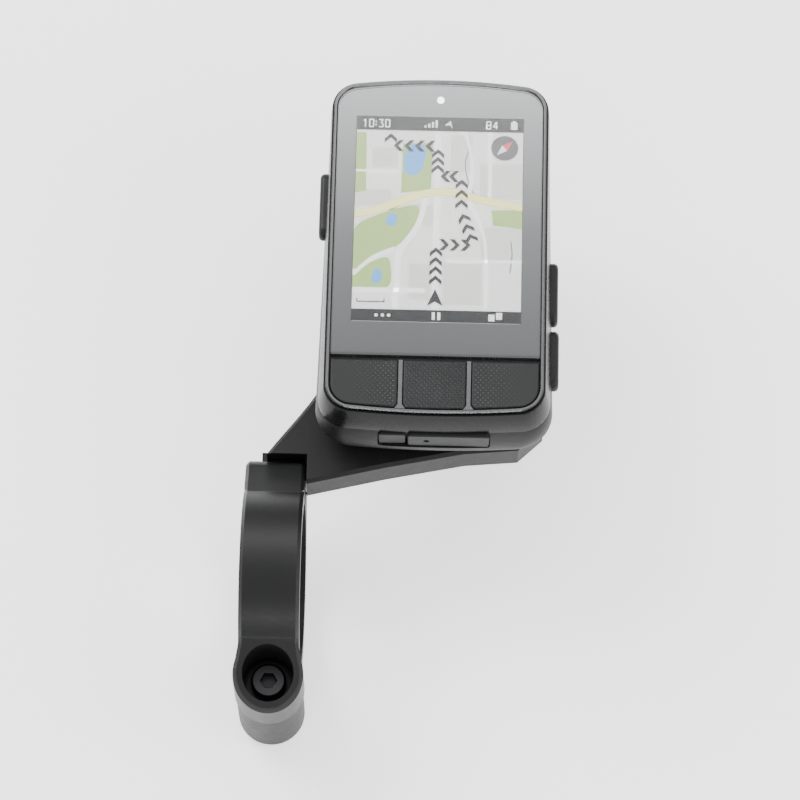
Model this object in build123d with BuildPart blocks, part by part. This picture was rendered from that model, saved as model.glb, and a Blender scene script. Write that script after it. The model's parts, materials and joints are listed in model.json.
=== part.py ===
from build123d import *
import os
from math import cos, radians, sin

# A cycling computer locked on its out-front handlebar mount.
#
# Frame: the origin is the centre of the clamp's bore, on the handlebar's axis. +X runs along the bar to the
# rider's right, +Y points forwards and +Z points up, square to the screen. Units are millimetres.

# ---------------------------------------------------------------- driving dimensions
BAR_R = 15.9  # a 31.8 mm handlebar
CLAMP_W = 12.0  # width of the clamp along the bar
JAW_R = 19.2  # outer radius of both jaws
SPLIT_TOP = -3.2  # the upper lug's underside
SPLIT_LOW = -4.0  # the lower lug's top face
BAND_START, BAND_END = 23.0, 190.0  # the strap round the bar, in degrees from forwards over the top
JAW_START, JAW_END = 2.0, -167.5  # the lower jaw's stretch
STRAP_BEVEL = 0.7  # bevel along both edges of the strap
PIVOT_Y, PIVOT_Z = 20.3, 4.6  # the band's hinge pin
PIN_R = 1.25
EAR_R = 3.6  # the band's ears, and the hood between them
KNUCKLE_R = 2.5  # the mount's knuckle, under the hood
KNUCKLE_CLEAR = 0.35
MID_KNUCKLE_W = 5.8  # the mount's knuckle, between the band's two ears
EAR_GAP = 0.2

BOLT_Y = -21.5  # the clamp bolt is upright, behind the bar
LUG_R = 7.0
LOW_LUG_R = 6.7
LUG_NECK_Y = -16.2  # forwards of here a lug is no wider than the jaw it belongs to
LUG_SEAT_Z = -0.6  # floor of the counterbore in the upper lug
LUG_CREST = (-15.0, 11.6)  # the lug's sloping top starts here, in the side view
LUG_BACK = (-28.6, 4.6)
COUNTERBORE_R = 5.1
BOLT_R = 2.0  # M4
BOLT_HEAD_R, BOLT_HEAD_H = 3.5, 3.3
BOLT_LENGTH = 16.0
BOLT_SOCKET_R = 1.5  # 3 mm key, across flats
BOLT_SOCKET_DEPTH = 2.2
WASHER_R, WASHER_T = 4.5, 0.6
NUT_TOWER_Z = -21.0
TOWER_ROUND = 2.2
BOLT_ROOM_R, BOLT_ROOM_Z = 2.3, -18.5
# side profiles of the mount round the bar, as (forwards, up)
JAW_BLEND = ((10.0, -15.2), (16.5, -11.0), (19.0, -9.6), (19.0, 1.0), (12.0, 1.0))
INSERT_LOW, INSERT_R, INSERT_L = -14.0, 3.0, 8.0  # the brass nut in the tower

DEV_X, DEV_Y = 31.5, 62.5  # centre of the screen side, and the axis that the computer twists on
FACE_Z = 28.0  # outer face of the lens
PART_Z = 22.0  # parting line between the two case shells
CASE_Z = 10.0  # underside of the case
WALL = 1.9
FLOOR_Z = 12.0  # inner floor of the rear shell

THROUGH = 30.0  # longer than anything a cut has to pass
FLOOR_BOSS_R, FLOOR_BOSS_H = 2.2, 1.2  # metal for the insert's screws
GROOVE_OUT, GROOVE_IN, GROOVE_DEPTH = 0.6, 1.4, 0.7  # the seal's groove, measured in from the rim
SEAL_GAP = 0.05
VENT_V, VENT_R, VENT_HOLE_R, VENT_DEPTH = -26.0, 1.6, 0.5, 0.8

BEZEL_HALF = 21.5
BEZEL_FRONT, BEZEL_REAR = 34.4, -35.0  # the bezel's corners; its ends bow out beyond them
BOW_FRONT, BOW_REAR = 1.8, 1.2
BEZEL_CORNER = 5.2
RING_W = 0.75
RING_LOW, RING_H = 26.0, 2.3
MASK = 80.0  # wider and longer than the whole face, for cutting an outline in two
SEAT_GAP = 0.03  # between the ring and its seat

SCREEN_W, SCREEN_H = 33.6, 44.8  # lit area
SCREEN_V = 5.9  # the lit area's centre, forwards of the case's centre
LENS_REAR = -23.6
LENS_T = 1.2
SHELF_Z = 26.55  # the front shell's face under the lens
SHELF_GAP = 0.05
LED_R, LED_HOLE_R = 0.7, 0.8
LED_LOW_Z, LED_HIGH_Z = 24.6, 26.75

# the display stack: width, length, low face and high face
PANEL = (36.4, 48.6, 25.25, 26.5)
BACKLIGHT = (34.8, 46.4, 23.85, 25.2)
TRAY = (36.2, 47.6, 23.4, 25.2)
TRAY_INSIDE = (35.2, 46.8, 23.8)  # width, length and floor
DISPLAY_WINDOW = (37.0, 49.2)
UNDER_SHELF = (20.2, 20.8, 33.2, -22.4, 3.0)  # room for the stack, as a case outline
UNDER_SHELF_H = 3.2

KEY_TRAVEL = 0.5
KEY_FRONT, KEY_REAR = -24.9, -34.6
KEY_GAP = 0.15
DIVIDER_U = 6.75  # dividers between the three keys, each side of the middle
DIVIDER_W = 0.8
DIVIDER_FOOT = (2.8, 1.4)  # where a divider widens at the ring: width and length
DIVIDER_ROOM = (3.5, 1.9)  # what the keys leave free for it
FOOT_V = BEZEL_REAR - 0.05
FOOT_SLOPE = 55
LED_V = 32.2  # the status light's place
KEY_CENTRES = ((-12.1, -29.6), (0.0, -29.9), (12.1, -29.6))
KEY_NAMES = ("left_button", "centre_button", "right_button")
PLUNGER_R = 1.4
PLUNGER_HOLE_R = 1.65
PLUNGER_LOW_Z = 24.3
KEY_LOW_Z, KEY_H = 26.85, 1.25
KEY_BAY_Z, KEY_FLOOR_Z = 26.0, 24.9  # the key bay's floor and its underside
KEY_SEAL_T = 0.3
SWITCH_V = -29.6
SWITCH_ROOM = (40.6, 10.4)
SWITCH_ROOM_H = 2.9

# side keys: name, side, centre, length
SIDE_KEYS = (("power_button", -1, 11.5, 14.5), ("up_button", 1, -6.8, 13.6), ("down_button", 1, -21.1, 12.6))
SIDE_KEY_Z = 19.0
SIDE_KEY_H = 4.0
SIDE_KEY_PROUD = 1.5
SIDE_FLANGE_T = 0.6
SIDE_FLANGE_GAP = 0.55  # how far a key's flange sits behind the wall's inner face
SIDE_FLANGE_LIP = (0.8, 0.4)  # how much longer and taller than its key a flange is
SIDE_FLANGE_ROOM = (1.2, 0.8)  # the same for the room behind the wall
SIDE_KEY_FIT = 0.2  # play in the slot, over both sides
SIDE_KEY_ROUND = 0.9

TWIST_NECK_R = 9.3
TWIST_TAB_R = 12.4
TWIST_CHAMBER_R = 12.8
TWIST_TAB_Z, TWIST_TAB_T = 4.95, 1.5
TWIST_TAB_HALF = 29  # half a tab's width, in degrees
TWIST_FLANGE_R, TWIST_FLANGE_Z = 14.0, 9.6
TWIST_SEAT_DEPTH = 0.9  # how far the insert's flange sinks into the case
TWIST_RECESS_R, TWIST_RECESS_DEPTH = 6.2, 3.2
NECK_PLAY = 0.35
CHAMBER_LOW_Z, CHAMBER_HIGH_Z = 4.6, 6.75  # where the tabs turn
CHAMBER_PLAY = 0.15
ENTRY_HALF = 33  # half an entry gap's width, in degrees
STOP_AT, STOP_HALF = 135, 13  # a stop's middle and half width, in degrees
STOP_LOW_Z, STOP_H = 4.4, 2.55
LOCK_RING_R = 16.4
LOCK_RING_Z = 3.4
LOCK_SCREW_RING = 14.6
LOCK_SCREW_HEAD_R, LOCK_SCREW_HEAD_H = 1.7, 1.1
SCREW_TURN = 45  # both screw rings start at this angle
DRAIN_R = 5.0
MOUNT_TOP_Z = 9.2
MOUNT_LOW_Z = 0.8
HEAD_R = 19.6
ROOT_W = 12.0  # the arm's root, as wide as the clamp
ARM_CHAMFER = 0.7
ROOT_Y = 18.0  # where the plan starts, in front of the bar
POCKET_SKIN, POCKET_ROUND = 2.4, 1.5
HEAD_TOUCH_LEFT, HEAD_TOUCH_RIGHT = 188.0, -52.0  # where the plan leaves the head, in degrees
# the wing's edge seen from above, from the head back to the clamp
WING_EDGE = ((53.4, 37.0), (53.6, 31.0), (48.6, 26.2), (37.8, 25.2), (22.0, 21.9))
LEFT_EDGE = ((-5.8, ROOT_Y), (-2.6, 23.2), (7.2, 36.6))
WING_POCKETS = (
    ((16.0, 24.4), (23.0, 25.6), (23.0, 41.5), (16.0, 44.5)),
    ((25.4, 26.2), (35.4, 28.0), (35.4, 40.2), (25.4, 40.2)),
    ((37.8, 28.6), (47.2, 29.5), (50.4, 32.8), (50.4, 36.0), (44.6, 43.6), (37.8, 41.0)),
)

# outer sections of the rear shell: height, half width at the front and the rear end, front and rear corner
# positions, corner radius
REAR_SECTIONS = (
    (22.0, 22.2, 23.1, 35.2, -36.9, 6.0),
    (17.5, 22.1, 23.7, 35.2, -37.9, 6.5),
    (13.2, 20.6, 22.6, 34.0, -37.2, 7.2),
    (10.9, 17.8, 20.2, 31.6, -35.2, 7.6),
    (CASE_Z, 15.6, 18.2, 29.4, -33.2, 7.8),
)
FRONT_SECTIONS = (
    (22.0, 22.2, 23.1, 35.2, -36.9, 6.0),
    (25.0, 22.1, 22.5, 35.1, -36.3, 5.9),
    (27.4, 21.9, 21.9, 34.8, -35.4, 5.5),
)

CASE_POSTS = ((-13.5, 32.1), (13.5, 32.1), (-16.6, -32.0), (16.6, -32.0))
POST_R = 2.1
POST_TOP_Z = 25.2
SCREW_SEAT_Z = 14.2  # top of the case screws' counterbores
SCREW_ENTRY_R = 1.8
SCREW_PILOT = 2.6
BOARD_LOW, BOARD_T = 21.0, 0.9
CASE_SCREW_R = 0.8
INSERT_SCREW_R = 0.9
INSERT_SCREW_RING = 11.2
INSERT_PILOT = 3.0
# screws: head radius, head's low face, head height, shank radius, tip, hexagon radius
LOCK_SCREW = (LOCK_SCREW_HEAD_R, 0.9, LOCK_SCREW_HEAD_H, INSERT_SCREW_R, 7.0, 0.8)
INSERT_SCREW = (1.5, 9.65, 0.65, INSERT_SCREW_R, 12.9, 0.7)
CASE_SCREW = (1.5, 12.8, 1.4, CASE_SCREW_R, 24.4, 0.75)

USB_U, USB_Z = 2.9, 19.3  # centre of the charging socket in the rear wall
USB_OUTSIDE = (8.94, 3.16)
USB_INSIDE = (8.34, 2.56)
USB_MOUTH = (9.6, 3.8)
USB_BACK = 8.2  # from the flap's plane to the socket's back
USB_LENGTH, USB_BACK_T = 7.4, 0.8
USB_TONGUE = (6.6, 0.7, 4.6)  # width, thickness and length
FLAP_PLUG = (7.3, 1.9, 1.9)  # width, thickness and length
FLAP_PLANE = -37.45  # inner face of the rubber flap
FLAP_T = 1.35
FLAP_LEFT, FLAP_RIGHT, FLAP_HINGE = -10.9, 11.1, -5.3
FLAP_LOW, FLAP_HIGH = 16.7, 21.9
DIMPLE_U, DIMPLE_R, DIMPLE_DEPTH = -1.4, 0.55, 0.5  # the small round mark on the flap
FLAP_GAP = 0.3

# boards and parts inside, measured from the case's centre: centre, then size
SHIELD_CENTRE, SHIELD_SIZE, SHIELD_H, SHIELD_SHEET = (-3, 16), (20, 18), 1.9, 0.2
ANTENNA_V, ANTENNA_SIZE = 27.2, (18, 4.4, 2.4)
BUZZER_CENTRE, BUZZER_R, BUZZER_H, BUZZER_PORT_R = (-9, -26.5), 4.6, 2.3, 0.9
BATTERY_LOW_Z, BATTERY_V, BATTERY_SIZE = 13.4, 2, (30, 42, 4.6)
BOARD_OUTLINE = (17.6, 17.6, 28.6, -33.4, 2.0)


def save(part, name):
    """Labels a finished piece and writes it as its own STEP file."""
    part.label = name
    export_step(part, f"parts/{name}.step")
    return part


def dev(z):
    """The sketch plane at height z, centred on the computer."""
    return Plane((DEV_X, DEV_Y, z))


def case_outline(half_front, half_rear, front, rear, corner, bow_front=BOW_FRONT, bow_rear=BOW_REAR):
    """A tapered outline with bowed ends and rounded corners."""
    with BuildSketch(Plane.XY) as outline:
        with BuildLine():
            ThreePointArc((-half_rear, rear), (0, rear - bow_rear), (half_rear, rear))
            Line((half_rear, rear), (half_front, front))
            ThreePointArc((half_front, front), (0, front + bow_front), (-half_front, front))
            Line((-half_front, front), (-half_rear, rear))
        make_face()
        fillet(outline.vertices(), corner)
    return outline.sketch


def rim_outline(inset):
    """The rear shell's rim, moved inwards by inset."""
    _, half_front, half_rear, front, rear, corner = REAR_SECTIONS[0]
    ends = (front - inset, rear + inset)
    return case_outline(half_front - inset, half_rear - inset, *ends, corner - inset * 0.8)


def bezel_outline(inset):
    """The bezel's outline, moved inwards by inset."""
    half = BEZEL_HALF - inset
    return case_outline(half, half, BEZEL_FRONT - inset, BEZEL_REAR + inset, max(BEZEL_CORNER - inset, 0.8))


def lofted(sections, inset=0.0, low=None):
    """A closed body through tapered sections, each drawn in by inset, cut off below low."""
    with BuildPart() as body:
        for z, half_front, half_rear, front, rear, corner in sections:
            with BuildSketch(dev(z)):
                ends = (front - inset, rear + inset)
                add(case_outline(half_front - inset, half_rear - inset, *ends, corner - inset * 0.8))
        loft()
        if low is not None:
            split(bisect_by=Plane((0, 0, low)), keep=Keep.TOP)
    return body.part


def half_width(z, v):
    """The rear shell's half width at height z near the side keys, v forwards of the centre."""
    top, mid = REAR_SECTIONS[0], REAR_SECTIONS[1]
    share = (top[0] - z) / (top[0] - mid[0])
    front = top[1] + (mid[1] - top[1]) * share
    rear = top[2] + (mid[2] - top[2]) * share
    ends = (mid[3], mid[4])
    return front + (rear - front) * (ends[0] - v) / (ends[0] - ends[1])


# ---------------------------------------------------------------- side keys
def side_key(side, v, length):
    """A pill-shaped side key whose inner flange keeps it behind the wall."""
    wall_out = half_width(SIDE_KEY_Z, v)
    flange_out = wall_out - WALL - SIDE_FLANGE_GAP
    face = Plane((DEV_X + side * flange_out, DEV_Y + v, SIDE_KEY_Z), x_dir=(0, side, 0), z_dir=(side, 0, 0))
    reach = wall_out + SIDE_KEY_PROUD - flange_out
    with BuildPart() as key:
        with BuildSketch(face):
            SlotOverall(length, SIDE_KEY_H)
        extrude(amount=reach)
        fillet(key.faces().sort_by(Axis.X)[-1 if side > 0 else 0].edges(), SIDE_KEY_ROUND)
        with BuildSketch(face):
            SlotOverall(length + SIDE_FLANGE_LIP[0], SIDE_KEY_H + SIDE_FLANGE_LIP[1])
        extrude(amount=-SIDE_FLANGE_T)
    return key.part


def side_key_slot(side, v, length):
    """The clearance that a side key needs through the wall."""
    face = Plane(
        (DEV_X + side * (half_width(SIDE_KEY_Z, v) - 6), DEV_Y + v, SIDE_KEY_Z),
        x_dir=(0, side, 0),
        z_dir=(side, 0, 0),
    )
    with BuildPart() as slot:
        with BuildSketch(face):
            SlotOverall(length + SIDE_KEY_FIT, SIDE_KEY_H + SIDE_KEY_FIT)
        extrude(amount=12)
        with BuildSketch(face):
            SlotOverall(length + SIDE_FLANGE_ROOM[0], SIDE_KEY_H + SIDE_FLANGE_ROOM[1])
        extrude(amount=6 - WALL)
    return slot.part


def side_switches():
    """The side keys' switches, fixed to the underside of the main board."""
    with BuildPart() as switches:
        for _, side, v, _ in SIDE_KEYS:
            flange_in = half_width(SIDE_KEY_Z, v) - WALL - SIDE_FLANGE_GAP - SIDE_FLANGE_T
            tip = flange_in - KEY_TRAVEL - 0.05
            with Locations((DEV_X + side * (tip - 1.7), DEV_Y + v, BOARD_LOW - 1.6)):
                Box(2.4, 4.6, 3.2)
            with Locations((DEV_X + side * (tip - 0.35), DEV_Y + v, SIDE_KEY_Z)):
                Box(0.7, 1.8, 1.4)
    return save(switches.part, "side_switches")


# ---------------------------------------------------------------- the case
def posts(low, high, radius):
    """Round posts for the four case screws."""
    with BuildPart() as made:
        with BuildSketch(dev(low)):
            with Locations(*CASE_POSTS):
                Circle(radius)
        extrude(amount=high - low)
    return made.part


def shell_cavity():
    """What is hollow in the rear shell: all but the screw pillars, the bosses and the socket's block."""
    with BuildPart() as bosses:
        with BuildSketch(dev(FLOOR_Z)):
            with PolarLocations(INSERT_SCREW_RING, 4, start_angle=SCREW_TURN):
                Circle(FLOOR_BOSS_R)
        extrude(amount=FLOOR_BOSS_H)
        with Locations((DEV_X + 0.1, DEV_Y + FLAP_PLANE + 0.85, (FLAP_LOW + FLAP_HIGH) / 2 - 0.2)):
            Box(25, 1.7, 7.6)
    room = lofted(REAR_SECTIONS[:4], inset=WALL, low=FLOOR_Z)
    return room - posts(CASE_Z, PART_Z, POST_R) - bosses.part


def shell_holes():
    """The rear shell's holes from below: case screws, insert seat and pilots, vent."""
    with BuildPart() as holes:
        with BuildSketch(dev(CASE_Z)):
            with Locations(*CASE_POSTS):
                Circle(SCREW_ENTRY_R)
        extrude(amount=SCREW_SEAT_Z - CASE_Z)
        with BuildSketch(dev(CASE_Z)):
            with Locations(*CASE_POSTS):
                Circle(CASE_SCREW_R + 0.2)
        extrude(amount=PART_Z - CASE_Z + 3)
        with BuildSketch(dev(CASE_Z)):
            Circle(TWIST_FLANGE_R + 0.1)
        extrude(amount=TWIST_SEAT_DEPTH)
        with BuildSketch(dev(CASE_Z)):
            with PolarLocations(INSERT_SCREW_RING, 4, start_angle=SCREW_TURN):
                Circle(INSERT_SCREW_R)
        extrude(amount=INSERT_PILOT)
        with BuildSketch(dev(CASE_Z)):
            with Locations((0, VENT_V)):
                Circle(VENT_R)
        extrude(amount=VENT_DEPTH)
        with BuildSketch(dev(CASE_Z)):
            with Locations((0, VENT_V)):
                Circle(VENT_HOLE_R)
        extrude(amount=FLOOR_Z - CASE_Z + 1)
    return holes.part


def rear_shell():
    """The lower housing: hollow, with screw posts, side key slots, socket mouth and insert seat."""
    with BuildPart() as shell:
        add(lofted(REAR_SECTIONS))
        add(shell_cavity(), mode=Mode.SUBTRACT)
        # seal groove in the rim
        with BuildSketch(dev(PART_Z)):
            add(rim_outline(GROOVE_OUT))
            add(rim_outline(GROOVE_IN), mode=Mode.SUBTRACT)
        extrude(amount=-GROOVE_DEPTH, mode=Mode.SUBTRACT)
        add(shell_holes(), mode=Mode.SUBTRACT)
        for _, side, v, length in SIDE_KEYS:
            add(side_key_slot(side, v, length), mode=Mode.SUBTRACT)
        # recess for the flap, and the socket's mouth
        with BuildSketch(flap_plane(FLAP_PLANE)):
            with Locations(((FLAP_LEFT + FLAP_RIGHT) / 2, (FLAP_LOW + FLAP_HIGH) / 2)):
                RectangleRounded(FLAP_RIGHT - FLAP_LEFT + FLAP_GAP, FLAP_HIGH - FLAP_LOW + FLAP_GAP, 0.9)
        extrude(amount=4, mode=Mode.SUBTRACT)
        with BuildSketch(flap_plane(FLAP_PLANE + 3)):
            with Locations((USB_U, USB_Z)):
                SlotOverall(*USB_MOUTH)
        extrude(amount=6, mode=Mode.SUBTRACT)
    return save(shell.part, "rear_shell")


def flap_plane(v):
    """A sketch plane facing the rider, v forwards of the case's centre, with x to the right and y up."""
    return Plane((DEV_X, DEV_Y + v, 0), x_dir=(1, 0, 0), z_dir=(0, -1, 0))


def case_gasket():
    """The rubber seal in the rear shell's rim groove."""
    with BuildPart() as seal:
        with BuildSketch(dev(PART_Z)):
            add(rim_outline(GROOVE_OUT + SEAL_GAP))
            add(rim_outline(GROOVE_IN - SEAL_GAP), mode=Mode.SUBTRACT)
        extrude(amount=0.02 - GROOVE_DEPTH)
    return save(seal.part, "case_gasket")


def front_rooms():
    """What is hollow in the front shell: bezel seat, display window, key bay, switch room and light hole."""
    with BuildPart() as rooms:
        with BuildSketch(dev(SHELF_Z)):
            add(bezel_outline(-SEAT_GAP))
        extrude(amount=3)
        with BuildSketch(dev(RING_LOW)):
            add(bezel_outline(-SEAT_GAP))
            add(bezel_outline(RING_W + SEAT_GAP), mode=Mode.SUBTRACT)
        extrude(amount=1)
        with BuildSketch(dev(PART_Z - 2)):
            with Locations((0, SCREEN_V)):
                Rectangle(*DISPLAY_WINDOW)
        extrude(amount=10)
        with BuildSketch(dev(PART_Z)):
            add(case_outline(*UNDER_SHELF))
        extrude(amount=UNDER_SHELF_H)
        with BuildSketch(dev(KEY_BAY_Z)):
            add(bezel_outline(RING_W + SEAT_GAP))
            with Locations((0, KEY_FRONT + SHELF_GAP + MASK / 2)):
                Rectangle(MASK, MASK, mode=Mode.SUBTRACT)
        extrude(amount=2)
        with BuildSketch(dev(KEY_FLOOR_Z)):
            with Locations(*KEY_CENTRES):
                Circle(PLUNGER_HOLE_R)
        extrude(amount=2)
        with BuildSketch(dev(PART_Z)):
            with Locations((0, SWITCH_V)):
                RectangleRounded(*SWITCH_ROOM, 3)
        extrude(amount=SWITCH_ROOM_H)
    return rooms.part


def front_shell():
    """The upper housing: lens shelf with the display's window, key bay, bezel seat and screw bosses."""
    with BuildPart() as shell:
        add(lofted(FRONT_SECTIONS))
        add(front_rooms(), mode=Mode.SUBTRACT)
        add(posts(PART_Z, POST_TOP_Z, POST_R))
        with BuildSketch(dev(PART_Z)):
            with Locations(*CASE_POSTS):
                Circle(CASE_SCREW_R)
        extrude(amount=SCREW_PILOT, mode=Mode.SUBTRACT)
        with BuildSketch(dev(PART_Z - 2)):
            with Locations((0, LED_V)):
                Circle(LED_HOLE_R)
        extrude(amount=10, mode=Mode.SUBTRACT)
    return save(shell.part, "front_shell")


def bezel_ring():
    """The thin metal ring round the face, with two dividers between the keys that widen at the ring."""
    with BuildPart() as ring:
        with BuildSketch(dev(RING_LOW)):
            add(bezel_outline(0))
            add(bezel_outline(RING_W), mode=Mode.SUBTRACT)
        extrude(amount=RING_H)
        chamfer(ring.faces().sort_by(Axis.Z)[-1].edges(), 0.2)
        with BuildSketch(dev(26.35)):
            for side in (-1, 1):
                with Locations((side * DIVIDER_U, (KEY_FRONT + BEZEL_REAR) / 2)):
                    Rectangle(DIVIDER_W, KEY_FRONT - BEZEL_REAR - 0.2)
                with Locations((side * DIVIDER_U, FOOT_V)):
                    Trapezoid(*DIVIDER_FOOT, FOOT_SLOPE)
        extrude(amount=1.55)
    return save(ring.part, "bezel_ring")


# ---------------------------------------------------------------- the front: lens, display, keys
def lens():
    """The cover glass."""
    with BuildPart() as glass:
        with BuildSketch(dev(FACE_Z - LENS_T)):
            add(bezel_outline(RING_W + 0.05))
            with Locations((0, LENS_REAR - MASK / 2)):
                Rectangle(MASK, MASK, mode=Mode.SUBTRACT)
        extrude(amount=LENS_T)
        chamfer(glass.faces().sort_by(Axis.Z)[-1].edges(), 0.2)
    return save(glass.part, "lens")


def lens_adhesive():
    """The black tape that bonds the glass and masks its border."""
    with BuildPart() as tape:
        with BuildSketch(dev(SHELF_Z)):
            add(bezel_outline(RING_W + 0.15))
            with Locations((0, LENS_REAR + 0.1 - MASK / 2)):
                Rectangle(MASK, MASK, mode=Mode.SUBTRACT)
            with Locations((0, SCREEN_V)):
                Rectangle(SCREEN_W + 0.4, SCREEN_H + 0.4, mode=Mode.SUBTRACT)
            with Locations((0, LED_V)):
                Circle(LED_HOLE_R, mode=Mode.SUBTRACT)
        extrude(amount=FACE_Z - LENS_T - SHELF_Z)
    return save(tape.part, "lens_adhesive")


def slab(name, width, length, low, high, v=SCREEN_V, corner=0.8):
    """A plain rounded plate, such as a display layer."""
    with BuildPart() as plate:
        with BuildSketch(dev(low)):
            with Locations((0, v)):
                RectangleRounded(width, length, corner)
        extrude(amount=high - low)
    return save(plate.part, name)


def display_tray():
    """The pressed metal tray that holds the backlight behind the panel."""
    width, length, low, high = TRAY
    inner_width, inner_length, floor = TRAY_INSIDE
    with BuildPart() as tray:
        with BuildSketch(dev(low)):
            with Locations((0, SCREEN_V)):
                RectangleRounded(width, length, 0.8)
        extrude(amount=high - low)
        with BuildSketch(dev(floor)):
            with Locations((0, SCREEN_V)):
                RectangleRounded(inner_width, inner_length, 0.5)
        extrude(amount=high - low, mode=Mode.SUBTRACT)
    return save(tray.part, "display_tray")


def front_key(index):
    """One of the three keys under the screen, with its plunger."""
    left = (-BEZEL_HALF, -DIVIDER_U + DIVIDER_W / 2, DIVIDER_U + DIVIDER_W / 2)[index]
    right = (-DIVIDER_U - DIVIDER_W / 2, DIVIDER_U - DIVIDER_W / 2, BEZEL_HALF)[index]
    with BuildPart() as key:
        with BuildSketch(dev(KEY_LOW_Z)):
            add(bezel_outline(RING_W + KEY_GAP))
            with Locations(((left + right) / 2, (KEY_FRONT + KEY_REAR) / 2 - 2)):
                Rectangle(right - left - 2 * KEY_GAP, KEY_FRONT - KEY_REAR + 3.6, mode=Mode.INTERSECT)
            # room for the dividers' wide feet
            with Locations((-DIVIDER_U, FOOT_V), (DIVIDER_U, FOOT_V)):
                Trapezoid(*DIVIDER_ROOM, FOOT_SLOPE, mode=Mode.SUBTRACT)
        extrude(amount=KEY_H)
        fillet(key.faces().sort_by(Axis.Z)[-1].edges(), 0.35)
        with BuildSketch(dev(PLUNGER_LOW_Z)):
            with Locations(KEY_CENTRES[index]):
                Circle(PLUNGER_R)
        extrude(amount=KEY_LOW_Z - PLUNGER_LOW_Z + 0.15)
    return save(key.part, KEY_NAMES[index])


def key_seal():
    """The silicone sheet on the key bay's floor."""
    with BuildPart() as seal:
        with BuildSketch(dev(KEY_BAY_Z)):
            add(bezel_outline(RING_W + 0.3))
            with Locations((0, KEY_FRONT - 0.2 + MASK / 2)):
                Rectangle(MASK, MASK, mode=Mode.SUBTRACT)
            with Locations(*KEY_CENTRES):
                Circle(PLUNGER_HOLE_R, mode=Mode.SUBTRACT)
        extrude(amount=KEY_SEAL_T)
    return save(seal.part, "key_seal")


def key_switches():
    """Three tactile switches on the main board, one under each plunger."""
    with BuildPart() as switches:
        for u, v in KEY_CENTRES:
            with Locations((DEV_X + u, DEV_Y + v, BOARD_LOW + BOARD_T + 0.55)):
                Box(4.0, 4.0, 1.1)
            with Locations((DEV_X + u, DEV_Y + v, BOARD_LOW + BOARD_T + 1.45)):
                Cylinder(1.1, 0.7)
    return save(switches.part, "key_switches")


def status_light():
    """The light pipe above the screen, on its small square foot."""
    with BuildPart() as pipe:
        with BuildSketch(dev(LED_LOW_Z)):
            with Locations((0, LED_V)):
                Circle(LED_R)
        extrude(amount=LED_HIGH_Z - LED_LOW_Z)
        with BuildSketch(dev(LED_LOW_Z)):
            with Locations((0, LED_V)):
                Rectangle(3.2, 1.6)
        extrude(amount=-0.5)
    return save(pipe.part, "status_light")


# ---------------------------------------------------------------- inside the case
def main_board():
    """The circuit board, cut round the rear screw posts."""
    with BuildPart() as board:
        with BuildSketch(dev(BOARD_LOW)):
            add(case_outline(*BOARD_OUTLINE, bow_front=1.0, bow_rear=0.6))
            with Locations(*CASE_POSTS):
                Circle(POST_R + 0.4, mode=Mode.SUBTRACT)
        extrude(amount=BOARD_T)
    return save(board.part, "main_board")


def shield_can():
    """The radio's pressed metal can, under the board."""
    width, length = SHIELD_SIZE
    with BuildPart() as can:
        with BuildSketch(dev(BOARD_LOW - SHIELD_H)):
            with Locations(SHIELD_CENTRE):
                RectangleRounded(width, length, 1.0)
        extrude(amount=SHIELD_H)
        with BuildSketch(dev(BOARD_LOW - SHIELD_H + SHIELD_SHEET)):
            with Locations(SHIELD_CENTRE):
                RectangleRounded(width - 2 * SHIELD_SHEET, length - 2 * SHIELD_SHEET, 0.8)
        extrude(amount=SHIELD_H - SHIELD_SHEET, mode=Mode.SUBTRACT)
    return save(can.part, "shield_can")


def antenna():
    """The ceramic satellite antenna at the front end of the board."""
    with BuildPart() as block:
        with Locations((DEV_X, DEV_Y + ANTENNA_V, BOARD_LOW - ANTENNA_SIZE[2] / 2)):
            Box(*ANTENNA_SIZE)
    return save(block.part, "satellite_antenna")


def buzzer():
    """The round piezo buzzer under the board, with its sound port."""
    with BuildPart() as disc:
        with BuildSketch(dev(BOARD_LOW - BUZZER_H)):
            with Locations(BUZZER_CENTRE):
                Circle(BUZZER_R)
        extrude(amount=BUZZER_H)
        with BuildSketch(dev(BOARD_LOW - BUZZER_H)):
            with Locations(BUZZER_CENTRE):
                Circle(BUZZER_PORT_R)
        extrude(amount=0.8, mode=Mode.SUBTRACT)
    return save(disc.part, "buzzer")


def usb_socket():
    """The charging socket's metal shell with its back and its tongue."""
    back = flap_plane(FLAP_PLANE + USB_BACK)
    tongue_w, tongue_t, tongue_l = USB_TONGUE
    with BuildPart() as socket:
        with BuildSketch(back):
            with Locations((USB_U, USB_Z)):
                SlotOverall(*USB_OUTSIDE)
                SlotOverall(*USB_INSIDE, mode=Mode.SUBTRACT)
        extrude(amount=USB_LENGTH)
        with BuildSketch(back):
            with Locations((USB_U, USB_Z)):
                SlotOverall(*USB_OUTSIDE)
        extrude(amount=-USB_BACK_T)
        with BuildSketch(back):
            with Locations((USB_U, USB_Z)):
                Rectangle(tongue_w, tongue_t)
        extrude(amount=tongue_l)
    return save(socket.part, "usb_socket")


def battery():
    """The pouch cell on the rear shell's floor."""
    width, length, height = BATTERY_SIZE
    with BuildPart() as cell:
        with BuildSketch(dev(BATTERY_LOW_Z)):
            with Locations((0, BATTERY_V)):
                RectangleRounded(width, length, 2.0)
        extrude(amount=height)
        fillet(cell.edges().filter_by(GeomType.LINE).filter_by(Plane.XY), 0.8)
    return save(cell.part, "battery")


def vent_membrane():
    """The patch that lets air through to the pressure sensor."""
    with BuildPart() as patch:
        with BuildSketch(dev(CASE_Z + 0.3)):
            with Locations((0, VENT_V)):
                Circle(VENT_R - 0.05)
        extrude(amount=0.45)
    return save(patch.part, "vent_membrane")


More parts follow.
